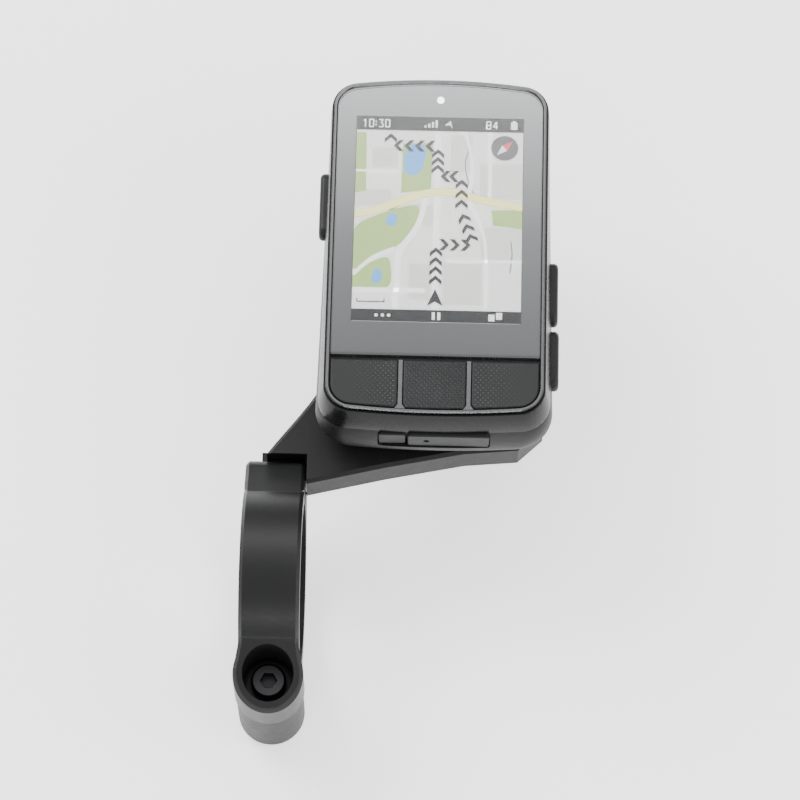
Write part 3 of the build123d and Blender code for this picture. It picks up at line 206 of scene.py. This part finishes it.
ARROW_HALF, ARROW_THICK = 1.25, 0.95
MARKER_TIP, MARKER_NOTCH = (-0.3, -15.2), (-0.3, -18.0)
MARKER_TAILS = ((-1.9, -18.9), (1.3, -18.9))
COMPASS, COMPASS_R = (13.1, 15.9), 2.75
NEEDLE, NEEDLE_HALF, NEEDLE_TURN = 2.2, 0.75, 45
SCALE_LEFT, SCALE_RIGHT, SCALE_TOP, SCALE_LINE = -15.8, -10.4, -17.5, 0.22
TEXT_H = 1.6
# strokes of the digits on a grid 2 wide and 4 tall
DIGITS = {
    "0": [(0, 0), (2, 0), (2, 4), (0, 4), (0, 0)],
    "1": [(0.3, 3.2), (1.2, 4), (1.2, 0)],
    "3": [(0, 4), (2, 4), (1, 2.3), (2, 1.6), (2, 0), (0, 0)],
    "4": [(1.6, 0), (1.6, 4), (0, 1.2), (2.3, 1.2)],
    "8": [(0, 0), (2, 0), (2, 4), (0, 4), (0, 0), (0, 2), (2, 2)],
}
NEAR_BLACK = (0.012, 0.012, 0.014)

# texture on the keys
PITCH = 0.5 * MM
KNURL_MARGIN, KNURL_HALF, KNURL_H, KNURL_SINK = 0.62 * MM, 0.86 * PITCH, 0.24 * MM, 0.03 * MM
KNURL_BLUNT = 0.25  # a point's flat top, as a share of its foot
DOT_MARGIN, DOT_R, DOT_SINK = 0.8 * MM, 0.27 * MM, 0.02 * MM
DOT_SLOPE, DOT_FADE, DOT_LEAST = 0.65, 1.1, 0.05 * MM
DOT_CORNER = 2.2 * MM  # no dots in the key's rounded outer corner
DOT_PROFILE = ((1.0, 0.0), (0.8, 0.65), (0.4, 0.95))  # shares of a dot's radius and height
DOT_SIDES = 8

# the studio
DEVICE = Vector((SCREEN.x, (lens_low.y + lens_high.y) / 2, lens_high.z))
CAMERA_RISE = math.radians(66)
CAMERA_REACH = 0.78
FIELD = 0.162  # how wide the picture is at the object
SENSOR = 36
AIM_FORWARD, AIM_Z = 0.002, 0.006
FLOOR_GAP, FLOOR_SIDE, FLOOR_GLOW = 0.4 * MM, 6.0, 1.1
SOFTBOX_REACH, SOFTBOX_HALF_W, SOFTBOX_HALF_H = 1.1, 0.42, 0.36
SOFTBOX_NEAR, SOFTBOX_FAR = -0.055, 0.075  # where its fade starts and ends, from its centre
SOFTBOX_GLOW = (1.4, 4.6)
SKY_GLOW = (0.12, 1.15)  # at the horizon, and from SKY_RISE upwards
SKY_RISE = 0.7
# area lights: place, size across and up in metres, power in watts
LIGHTS = {
    "key_light": ((-0.55, 0.55, 0.75), (0.6, 0.45), 11.0),
    "fill_light": ((0.7, -0.15, 0.55), (0.5, 0.5), 4.0),
    "rear_light": ((0.0, -0.7, 0.38), (0.6, 0.05), 1.6),
}


# ---------------------------------------------------------------- node helpers
def fill(node, **values):
    """Sets a node's inputs by name, with _ for each space."""
    for key, value in values.items():
        node.inputs[key.replace("_", " ")].default_value = value


def toned(colour, share):
    """A colour made darker or lighter by a share."""
    return tuple(min(c * share, 1.0) for c in colour)


class Graph:
    """A material's node tree, with short ways to add what these materials share."""

    def __init__(self, name):
        self.mat = bpy.data.materials.new(name)
        self.mat.use_nodes = True
        self.tree = self.mat.node_tree
        self.tree.nodes.clear()
        self.out = self.add("ShaderNodeOutputMaterial")
        self.shader = self.add("ShaderNodeBsdfPrincipled")
        self.link(self.shader.outputs[0], self.out.inputs[0])
        self.coord = self.add("ShaderNodeTexCoord").outputs["Object"]

    def add(self, kind, **values):
        """A new node with these settings."""
        node = self.tree.nodes.new(kind)
        for key, value in values.items():
            setattr(node, key, value)
        return node

    def link(self, a, b):
        self.tree.links.new(a, b)

    def set(self, **values):
        """Constants on the shader's own inputs."""
        fill(self.shader, **values)

    def feed(self, output, name):
        """Links an output to the shader's input of this name."""
        self.link(output, self.shader.inputs[name])

    def noise(self, size, detail=3.0, rough=0.55):
        """Noise whose features are about size metres across."""
        node = self.add("ShaderNodeTexNoise")
        fill(node, Scale=1.0 / size, Detail=detail, Roughness=rough)
        self.link(self.coord, node.inputs["Vector"])
        return node.outputs["Fac"]

    def cells(self, size):
        """Rounded cells about size metres across, as in a spark-eroded mould."""
        node = self.add("ShaderNodeTexVoronoi", feature="F1")
        fill(node, Scale=1.0 / size)
        self.link(self.coord, node.inputs["Vector"])
        return node.outputs["Distance"]

    def bricks(self, offset, squash=1.0, **values):
        """A brick pattern measured in metres."""
        node = self.add("ShaderNodeTexBrick", offset=offset, squash=squash)
        fill(node, Scale=1.0, **values)
        self.link(self.coord, node.inputs["Vector"])
        return node

    def along_y(self, low, high, start=0.0, end=1.0, curve="LINEAR"):
        """A number that goes from start to end as Y goes from low to high."""
        split = self.add("ShaderNodeSeparateXYZ")
        self.link(self.coord, split.inputs[0])
        node = self.add("ShaderNodeMapRange", interpolation_type=curve)
        fill(node, From_Min=low, From_Max=high, To_Min=start, To_Max=end)
        self.link(split.outputs["Y"], node.inputs["Value"])
        return node.outputs[0]

    def ramp(self, fac, stops):
        """A colour ramp through (position, colour) stops."""
        node = self.add("ShaderNodeValToRGB")
        ramp = node.color_ramp
        while len(ramp.elements) < len(stops):
            ramp.elements.new(0.5)
        for element, (place, colour) in zip(ramp.elements, stops):
            element.position = place
            element.color = (*colour, 1.0)
        self.link(fac, node.inputs[0])
        return node.outputs[0]

    def span(self, fac, low, high):
        """A number from 0 to 1 spread over low to high."""
        node = self.add("ShaderNodeMapRange")
        fill(node, To_Min=low, To_Max=high)
        self.link(fac, node.inputs["Value"])
        return node.outputs[0]

    def math(self, kind, a, b):
        """A sum of an output and either a number or another output."""
        node = self.add("ShaderNodeMath", operation=kind)
        for socket, value in zip(node.inputs, (a, b)):
            if isinstance(value, float):
                socket.default_value = value
            else:
                self.link(value, socket)
        return node.outputs[0]

    def bump(self, height, depth, normal=None):
        """A bump depth metres deep, over another normal if there is one."""
        node = self.add("ShaderNodeBump")
        fill(node, Strength=1.0, Distance=depth)
        self.link(height, node.inputs["Height"])
        if normal is not None:
            self.link(normal, node.inputs["Normal"])
        self.feed(node.outputs[0], "Normal")
        return node.outputs[0]


# ---------------------------------------------------------------- materials
def moulded(name, colour, rough, grain, depth, wear=1.35, sheen=0.0, spec=0.5):
    """Moulded plastic or rubber: eroded-mould grain, handling marks in its gloss, faint colour drift."""
    g = Graph(name)
    stops = [(0.3, toned(colour, 0.82)), (0.55, colour), (0.75, toned(colour, wear))]
    g.feed(g.ramp(g.noise(DRIFT_SIZE, 4.0), stops), "Base Color")
    g.feed(g.span(g.noise(MARK_SIZE, 5.0, 0.65), rough - 0.07, rough + 0.09), "Roughness")
    coarse = g.bump(g.cells(grain * MM), depth * MM)
    g.bump(g.noise(grain * MM * FINE_GRAIN, 2.0), depth * MM * 0.5, coarse)
    g.set(Specular_IOR_Level=spec, Sheen_Weight=sheen)
    return g.mat


def metal(name, colour, rough, brushed=0.12, depth=0.002):
    """Metal with a fine grain and duller patches."""
    g = Graph(name)
    grain = g.noise(brushed * MM, 3.0, 0.6)
    stops = [(0.25, toned(colour, 0.8)), (0.5, colour), (0.8, toned(colour, 1.12))]
    g.feed(g.ramp(grain, stops), "Base Color")
    g.feed(g.span(g.noise(PATCH_SIZE, 4.0), rough - 0.08, rough + 0.1), "Roughness")
    g.bump(grain, depth * MM)
    g.set(Metallic=1.0)
    return g.mat


def lit(name, colour, strength):
    """A patch of the screen's picture: it glows through a fine pixel grid."""
    g = Graph(name)
    grid = g.bricks(
        offset=0.0,
        Brick_Width=PIXEL,
        Row_Height=PIXEL,
        Mortar_Size=PIXEL_GAP,
        Mortar_Smooth=0.5,
        Color1=(*colour, 1),
        Color2=(*toned(colour, 0.96), 1),
        Mortar=(*toned(colour, 0.72), 1),
    )
    g.feed(grid.outputs["Color"], "Emission Color")
    g.feed(grid.outputs["Color"], "Base Color")
    g.set(Emission_Strength=strength, Roughness=0.6, Specular_IOR_Level=0.0)
    return g.mat


def circuit_board():
    """Green solder mask over copper tracks."""
    g = Graph("circuit_board")
    tracks = g.bricks(
        offset=0.37,
        squash=0.6,
        Brick_Width=3.4 * MM,
        Row_Height=0.9 * MM,
        Mortar_Size=0.11 * MM,
        Color1=(0.012, 0.10, 0.045, 1),
        Color2=(0.014, 0.12, 0.05, 1),
        Mortar=(0.03, 0.2, 0.08, 1),
    )
    g.feed(tracks.outputs["Color"], "Base Color")
    g.feed(g.span(g.noise(1.5 * MM), 0.25, 0.4), "Roughness")
    g.bump(tracks.outputs["Fac"], 0.02 * MM)
    return g.mat


def lens_border():
    """The lens's printed border with a fine printed grain; its grey, lighter towards the front end, is a
    painted reflection of the studio on a black border, and its glow is painted light.
    """
    g = Graph("black_mask")
    grain = g.math("MULTIPLY", g.math("SUBTRACT", g.noise(0.5 * MM), 0.5), 0.04)
    painted_reflection = g.ramp(g.math("ADD", g.along_y(lens_low.y, lens_high.y), grain), BORDER_PAINTED_REFLECTION)
    # the painted reflection colours the border and also makes it glow, as painted light
    g.feed(painted_reflection, "Base Color")
    g.feed(painted_reflection, "Emission Color")
    g.feed(g.span(g.noise(1.2 * MM), 0.5, 0.6), "Roughness")
    g.set(Specular_IOR_Level=0.2, Emission_Strength=BORDER_GLOW)
    return g.mat


def cover_glass():
    """Clear glass with a faint smear pattern in its gloss."""
    g = Graph("cover_glass")
    g.set(Transmission_Weight=1.0, IOR=1.5)
    tints = [(0.3, (0.93, 0.95, 0.96)), (0.7, (0.97, 0.98, 0.98))]
    g.feed(g.ramp(g.noise(20 * MM), tints), "Base Color")
    g.feed(g.span(g.noise(5 * MM, 5.0), 0.015, 0.05), "Roughness")
    return g.mat


def make_materials():
    """Every material of the object, by the record's slot where one node has it."""
    made = {name: moulded(name, **look) for name, look in MOULDED.items()}
    made.update({name: metal(name, **look) for name, look in METALS.items()})
    made["light_pipe"] = lit("light_pipe", (1.0, 1.0, 0.98), PIPE_GLOW)
    made["black_mask"] = lens_border()
    made["circuit_board"] = circuit_board()
    made["cover_glass"] = cover_glass()
    return made


MATS = make_materials()


# ---------------------------------------------------------------- the CAD nodes
def dress(obj, material):
    """Gives obj this one material."""
    obj.data.materials.clear()
    obj.data.materials.append(material)


def finish_edges(obj, width):
    """Joins the frame's loose triangles into faces, then rounds the hard edges by width."""
    weld = obj.modifiers.new("weld", "WELD")
    weld.merge_threshold = WELD_REACH
    flat = obj.modifiers.new("flat", "DECIMATE")
    flat.decimate_type = "DISSOLVE"
    flat.angle_limit = FLAT_ANGLE
    bevel = obj.modifiers.new("bevel", "BEVEL")
    bevel.width = width
    bevel.segments = 3
    bevel.limit_method = "ANGLE"
    bevel.angle_limit = EDGE_ANGLE
    bevel.miter_outer = "MITER_ARC"
    normal = obj.modifiers.new("normal", "WEIGHTED_NORMAL")
    normal.weight = 80


def dress_frame():
    """Materials and rounded edges for every CAD node."""
    for name, node in NODES.items():
        dress(node, MATS[LOOKS.get(name, SLOT_OF[name])])
        smooth = name not in FLAT
        for polygon in node.data.polygons:
            polygon.use_smooth = smooth
        if smooth:
            finish_edges(node, EDGE.get(name, OTHER_EDGE) * MM)


# ---------------------------------------------------------------- mesh helpers
def new_object(name, data):
    """A new object in the scene."""
    obj = bpy.data.objects.new(name, data)
    bpy.context.scene.collection.objects.link(obj)
    return obj


def new_piece(name, bm, material, body):
    """Turns a bmesh into a piece that rides a CAD body."""
    mesh = bpy.data.meshes.new(name)
    bm.normal_update()
    bm.to_mesh(mesh)
    bm.free()
    obj = new_object(name, mesh)
    dress(obj, material)
    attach(obj, body)
    return obj


def on_screen(points, level):
    """Screen places in millimetres from its centre, as points of the row frame."""
    z = SCREEN.z + LAYER * (level + 1)
    return [Vector((SCREEN.x + x * MM, SCREEN.y + y * MM, z)) for x, y in points]


def clip_to_screen(bm):
    """Cuts away what falls outside the lit area."""
    for axis, half in (((1, 0, 0), SCREEN_W / 2), ((0, 1, 0), SCREEN_H / 2)):
        for sign in (1, -1):
            outward = Vector(axis) * sign
            everything = bm.verts[:] + bm.edges[:] + bm.faces[:]
            edge = SCREEN + outward * half
            bmesh.ops.bisect_plane(bm, geom=everything, plane_co=edge, plane_no=outward, clear_outer=True)


def between(a, b, c, d, t):
    """The Catmull-Rom place at share t of the way from b to c."""
    return tuple(
        0.5 * (2 * q + (r - p) * t + (2 * p - 5 * q + 4 * r - u) * t * t + (3 * q - p - 3 * r + u) * t ** 3)
        for p, q, r, u in zip(a, b, c, d)
    )


def smooth_path(points, steps=8):
    """A smooth open curve through the points."""
    padded = [points[0], *points, points[-1]]
    out = [between(*padded[i:i + 4], s / steps) for i in range(len(points) - 1) for s in range(steps)]
    return out + [points[-1]]


def smooth_loop(points, steps=6):
    """A smooth closed curve through the points."""
    padded = [points[-1], *points, *points[:2]]
    return [between(*padded[i:i + 4], s / steps) for i in range(len(points)) for s in range(steps)]


def add_polygon(bm, points, level):
    """A flat face through screen places, turned to face up."""
    area = sum(a[0] * b[1] - b[0] * a[1] for a, b in zip(points, points[1:] + points[:1]))
    if area < 0:
        points = points[::-1]
    bm.faces.new([bm.verts.new(p) for p in on_screen(points, level)])


def add_ribbon(bm, path, width, level):
    """A strip of constant width along a path of screen places."""
    sides = []
    for i, (x, y) in enumerate(path):
        ax, ay = path[max(i - 1, 0)]
        bx, by = path[min(i + 1, len(path) - 1)]
        length = math.hypot(bx - ax, by - ay)
        nx, ny = -(by - ay) / length * width / 2, (bx - ax) / length * width / 2
        sides.append(((x - nx, y - ny), (x + nx, y + ny)))
    rows = [[bm.verts.new(p) for p in on_screen(pair, level)] for pair in sides]
    for (a, b), (c, d) in zip(rows, rows[1:]):
        bm.faces.new((a, c, d, b))


def box_points(x0, y0, x1, y1):
    """A rectangle's corners."""
    return [(x0, y0), (x1, y0), (x1, y1), (x0, y1)]


def ring_points(x, y, radius, count):
    """Points round a circle in equal steps, with a longer last step that closes it."""
    step = 2 * math.pi / count * (count - 1) / count
    return [(x + radius * math.cos(i * step), y + radius * math.sin(i * step)) for i in range(count)]


def screen_piece(name, level, colour, polygons=(), ribbons=()):
    """One colour of the screen's picture, cut to the lit area."""
    bm = bmesh.new()
    for points in polygons:
        add_polygon(bm, points, level)
    for path, width in ribbons:
        add_ribbon(bm, path, width, level)
    clip_to_screen(bm)
    bmesh.ops.recalc_face_normals(bm, faces=bm.faces[:])
    for face in bm.faces:
        if face.normal.z < 0:
            face.normal_flip()
    new_piece(name, bm, lit(name, colour, GLOW), "computer")


# ---------------------------------------------------------------- the screen's picture
def map_layers():
    """Land, blocks, parks, water and roads."""
    screen_piece("map_land", 0, (0.83, 0.83, 0.79), [box_points(-HALF_W, -HALF_H, HALF_W, HALF_H)])
    screen_piece("map_blocks", 1, (0.68, 0.68, 0.64), [box_points(*block) for block in BLOCKS])
    screen_piece("map_parks", 2, (0.36, 0.52, 0.16), SQUARE_PARKS + [smooth_loop(p) for p in ROUND_PARKS])
    screen_piece("map_water", 3, (0.10, 0.38, 0.85), [smooth_loop(p) for p in PONDS])
    streams = [(smooth_path(path), width) for path, width in STREAMS]
    screen_piece("map_streams", 3, (0.16, 0.22, 0.28), ribbons=streams)
    roads = STRAIGHT_ROADS + [(smooth_path(path), width) for path, width in WINDING_ROADS]
    screen_piece("map_minor_roads", 4, (1.0, 1.0, 0.98), ribbons=roads)
    main = smooth_path(MAIN_ROAD)
    screen_piece("map_major_road_edge", 5, (0.62, 0.56, 0.2), ribbons=[(main, MAIN_EDGE_W)])
    screen_piece("map_major_road", 6, (0.98, 0.92, 0.4), ribbons=[(main, MAIN_ROAD_W)])


def leg_places(leg):
    """Evenly spread places along a straight leg, clear of both ends, with the leg's direction."""
    (ax, ay), (bx, by) = leg
    length = math.hypot(bx - ax, by - ay)
    clear = 0.75 * ARROW_GAP
    count = round((length - 2 * clear) / ARROW_GAP) + 1
    if count == 1:
        shares = [0.5]
    else:
        step = (length - 2 * clear) / (count - 1)
        shares = [(clear + i * step) / length for i in range(count)]
    heading = math.atan2(by - ay, bx - ax)
    return [(ax + (bx - ax) * t, ay + (by - ay) * t, heading) for t in shares]


def arrowhead(x, y, heading):
    """The two halves of an arrowhead stroke that points along heading."""
    c, s = math.cos(heading), math.sin(heading)

    def turned(ahead, aside):
        return x + ahead * c - aside * s, y + ahead * s + aside * c

    tip, notch = turned(ARROW_TIP, 0), turned(ARROW_TIP - ARROW_THICK, 0)
    return [
        [turned(ARROW_BACK, side), tip, notch, turned(ARROW_BACK - ARROW_THICK, side)]
        for side in (-ARROW_HALF, ARROW_HALF)
    ]


def compass_place(reach, degrees):
    """A screen place at reach from the compass's centre."""
    angle = math.radians(degrees)
    return COMPASS[0] + reach * math.cos(angle), COMPASS[1] + reach * math.sin(angle)


def route_layers():
    """The route's arrowheads, the rider's marker and the compass."""
    places = [place for leg in zip(ROUTE, ROUTE[1:]) for place in leg_places(leg)]
    screen_piece("route_arrows", 7, NEAR_BLACK, [half for place in places for half in arrowhead(*place)])
    screen_piece("rider_marker", 8, NEAR_BLACK, [[MARKER_TIP, tail, MARKER_NOTCH] for tail in MARKER_TAILS])
    screen_piece("compass_disc", 7, (0.10, 0.10, 0.10), [ring_points(*COMPASS, COMPASS_R, 40)])
    waist = [compass_place(NEEDLE_HALF, NEEDLE_TURN + 90), compass_place(NEEDLE_HALF, NEEDLE_TURN - 90)]
    screen_piece("compass_north", 8, (0.8, 0.08, 0.08), [waist + [compass_place(NEEDLE, NEEDLE_TURN)]])
    screen_piece("compass_south", 8, (0.85, 0.85, 0.84), [waist + [compass_place(-NEEDLE, NEEDLE_TURN)]])


def strokes(text, x, y):
    """Ribbons that write digits from the left."""
    unit = TEXT_H / 4
    made = []
    for letter in text:
        if letter == ":":
            made += [([(x, y + unit * k), (x, y + unit * (k + 0.7))], unit * 0.8) for k in (0.8, 2.5)]
            x += unit * 1.5
            continue
        points = [(x + px * unit, y + py * unit) for px, py in DIGITS[letter]]
        made += [([a, b], unit * 0.62) for a, b in zip(points, points[1:])]
        x += unit * 3.3
    return made


def status_icons(y):
    """Signal bars, a place arrow and a battery, in the bar over the map."""
    signal = [box_points(-3.2 + 0.75 * i, y - 0.75, -2.75 + 0.75 * i, y - 0.3 + 0.4 * i) for i in range(4)]
    tip, notch = (2.1, y + 0.85), (2.0, y - 0.15)
    arrow = [[tip, (0.9, y - 0.25), notch], [tip, notch, (2.5, y - 0.9)]]
    battery = [box_points(14.3, y - 0.85, 15.6, y + 0.75), box_points(14.65, y + 0.75, 15.25, y + 1.05)]
    return signal + arrow + battery


def key_icons(y):
    """Three dots, a pause sign and two pages, over the three keys."""
    dots = [ring_points(-11.9 + 1.25 * i, y, 0.34, 16) for i in range(3)]
    pause = [box_points(-0.85, y - 0.8, -0.25, y + 0.8), box_points(0.25, y - 0.8, 0.85, y + 0.8)]
    pages = [box_points(10.4, y - 0.85, 11.6, y + 0.6), box_points(11.9, y - 0.45, 13.1, y + 1.0)]
    return dots + pause + pages


def screen_bars():
    """The dark bars over and under the map with their icons, and the map's scale."""
    bars = [box_points(-HALF_W, BAR_TOP, HALF_W, HALF_H), box_points(-HALF_W, -HALF_H, HALF_W, BAR_LOW)]
    screen_piece("screen_bars", 7, (0.012, 0.0125, 0.014), bars)
    top = (BAR_TOP + HALF_H) / 2
    low = (BAR_LOW - HALF_H) / 2
    text = strokes("10:30", -15.6, top - TEXT_H / 2) + strokes("84", 9.4, top - TEXT_H / 2)
    screen_piece("screen_icons", 8, (0.9, 0.9, 0.89), status_icons(top) + key_icons(low), text)
    base = SCALE_TOP - 0.7
    scale = [([(SCALE_LEFT, base), (SCALE_RIGHT, base)], SCALE_LINE)]
    scale += [([(x, base - 0.1), (x, SCALE_TOP)], SCALE_LINE) for x in (SCALE_LEFT, SCALE_RIGHT)]
    screen_piece("map_scale_bar", 5, (0.04, 0.04, 0.045), ribbons=scale)


# ---------------------------------------------------------------- texture on the keys
def key_area(node, margin):
    """The flat top of a key: its sides and ends, clear of its edges by margin, and its height."""
    low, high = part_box(node)
    return low.x + margin, high.x - margin, low.y + margin, high.y - margin, high.z


def staggered(x0, x1, y0, y1):
    """Every other place of a square grid over an area."""
    columns = int((x1 - x0) / PITCH)
    rows = int((y1 - y0) / PITCH)
    for i in range(columns + 1):
        for j in range(i % 2, rows + 1, 2):
            yield x0 + (x1 - x0) * i / columns, y0 + (y1 - y0) * j / rows


def add_wall(bm, low, high):
    """Faces between two rings of vertices."""
    count = len(low)
    for k in range(count):
        after = (k + 1) % count
        bm.faces.new((low[k], low[after], high[after], high[k]))


def add_point(bm, x, y, z):
    """A blunt four-sided point with its corners on the axes, so that neighbours make a diamond knurl."""
    corners = ((KNURL_HALF, 0), (0, KNURL_HALF), (-KNURL_HALF, 0), (0, -KNURL_HALF))
    foot = [bm.verts.new((x + dx, y + dy, z)) for dx, dy in corners]
    top = [bm.verts.new((x + dx * KNURL_BLUNT, y + dy * KNURL_BLUNT, z + KNURL_H)) for dx, dy in corners]
    add_wall(bm, foot, top)
    bm.faces.new(top)


def add_dot(bm, x, y, z, radius):
    """A low rounded dot."""
    turns = [2 * math.pi * k / DOT_SIDES for k in range(DOT_SIDES)]
    height = radius * DOT_SLOPE
    rings = [
        [bm.verts.new((x + radius * share * math.cos(a), y + radius * share * math.sin(a), z + height * lift))
         for a in turns]
        for share, lift in DOT_PROFILE
    ]
    for low, high in zip(rings, rings[1:]):
        add_wall(bm, low, high)
    bm.faces.new(rings[-1])


def knurl(node):
    """Diamond knurling over the middle key."""
    x0, x1, y0, y1, z = key_area(node, KNURL_MARGIN)
    bm = bmesh.new()
    for x, y in staggered(x0, x1, y0, y1):
        add_point(bm, x, y, z - KNURL_SINK)
    # the points take the lighter grip colour, a painted highlight on the key's own rubber
    new_piece(node + "_knurl", bm, MATS["key_grip_painted_highlight"], node)


def fading_dots(node, towards):
    """Rows of dots on an outer key that shrink away from the edge beside the middle key."""
    x0, x1, y0, y1, z = key_area(node, DOT_MARGIN)
    outer = x0 if towards > 0 else x1
    bm = bmesh.new()
    for x, y in staggered(x0, x1, y0, y1):
        inwards = abs(x - outer)
        radius = (inwards / (x1 - x0)) ** DOT_FADE * DOT_R
        if radius >= DOT_LEAST and inwards + (y - y0) >= DOT_CORNER:
            add_dot(bm, x, y, z - DOT_SINK, radius)
    # the dots take the lighter grip colour, a painted highlight on the key's own rubber
    piece = new_piece(node + "_dots", bm, MATS["key_grip_painted_highlight"], node)
    for polygon in piece.data.polygons:
        polygon.use_smooth = True


# ---------------------------------------------------------------- floor, lights and camera
def stage_sheet(name, corners, material):
    """A four-cornered sheet that belongs to the studio."""
    mesh = bpy.data.meshes.new(name)
    mesh.from_pydata(corners, [], [(0, 1, 2, 3)])
    obj = new_object(name, mesh)
    dress(obj, material)


def look(obj, place, aim):
    """Puts a camera or light at place, facing aim."""
    obj.location = place
    obj.rotation_mode = "QUATERNION"
    obj.rotation_quaternion = (aim - place).to_track_quat("-Z", "Y")


def floor():
    """A plain pale floor just under the part."""
    g = Graph("floor")
    tones = [(0.3, (0.93, 0.93, 0.93)), (0.7, (0.95, 0.95, 0.95))]
    g.feed(g.ramp(g.noise(0.4, 2.0), tones), "Base Color")
    g.set(Roughness=0.9, Specular_IOR_Level=0.1, Emission_Color=(1, 1, 1, 1), Emission_Strength=FLOOR_GLOW)
    z = cad_bounds[0][2] - FLOOR_GAP
    corners = [(x, y, z) for x, y in box_points(-FLOOR_SIDE, -FLOOR_SIDE, FLOOR_SIDE, FLOOR_SIDE)]
    stage_sheet("floor", corners, g.mat)


def area_light(name, place, size, power):
    """A soft rectangular light at place that faces the computer."""
    data = bpy.data.lights.new(name, "AREA")
    data.shape = "RECTANGLE"
    data.size, data.size_y = size
    data.energy = power
    look(new_object(name, data), Vector(place), DEVICE)


def camera():
    """A long lens behind the bar and above, aimed at the middle of the object."""
    data = bpy.data.cameras.new("camera")
    obj = new_object("camera", data)
    eye = DEVICE + Vector((0, -math.cos(CAMERA_RISE), math.sin(CAMERA_RISE))) * CAMERA_REACH
    low, high = (Vector(c) for c in cad_bounds)
    aim = Vector(((low.x + high.x) / 2, (low.y + high.y) / 2 + AIM_FORWARD, AIM_Z))
    look(obj, eye, aim)
    data.sensor_width = SENSOR
    data.lens = SENSOR * (aim - eye).length / FIELD
    data.clip_start, data.clip_end = 0.01, 30
    bpy.context.scene.camera = obj


def softbox():
    """A glowing panel that the cover glass mirrors, bright at its far end and fading towards the near end."""
    g = Graph("softbox_glow")
    mirrored = Vector((0, math.cos(CAMERA_RISE), math.sin(CAMERA_RISE)))
    centre = DEVICE + mirrored * SOFTBOX_REACH
    across = Vector((1, 0, 0))
    up = mirrored.cross(across).normalized()
    corners = [tuple(centre + across * sx + up * sy)
               for sx, sy in box_points(-SOFTBOX_HALF_W, -SOFTBOX_HALF_H, SOFTBOX_HALF_W, SOFTBOX_HALF_H)]
    fade = g.along_y(centre.y + SOFTBOX_NEAR, centre.y + SOFTBOX_FAR, *SOFTBOX_GLOW, "SMOOTHSTEP")
    g.feed(fade, "Emission Strength")
    g.set(Base_Color=(0, 0, 0, 1), Emission_Color=(1, 1, 1, 1))
    stage_sheet("softbox", corners, g.mat)


def world():
    """Even pale surroundings that brighten from the horizon upwards."""
    made = bpy.data.worlds.new("world")
    bpy.context.scene.world = made
    made.use_nodes = True
    tree = made.node_tree
    background = tree.nodes["Background"]
    fill(background, Color=(0.98, 0.99, 1.0, 1))
    coord = tree.nodes.new("ShaderNodeTexCoord")
    split = tree.nodes.new("ShaderNodeSeparateXYZ")
    rise = tree.nodes.new("ShaderNodeMapRange")
    fill(rise, From_Min=0.0, From_Max=SKY_RISE, To_Min=SKY_GLOW[0], To_Max=SKY_GLOW[1])
    tree.links.new(coord.outputs["Generated"], split.inputs[0])
    tree.links.new(split.outputs["Z"], rise.inputs["Value"])
    tree.links.new(rise.outputs[0], background.inputs["Strength"])


dress_frame()
map_layers()
route_layers()
screen_bars()
knurl("centre_button")
fading_dots("left_button", 1)
fading_dots("right_button", -1)
floor()
camera()
softbox()
world()
for light, setting in LIGHTS.items():
    area_light(light, *setting)
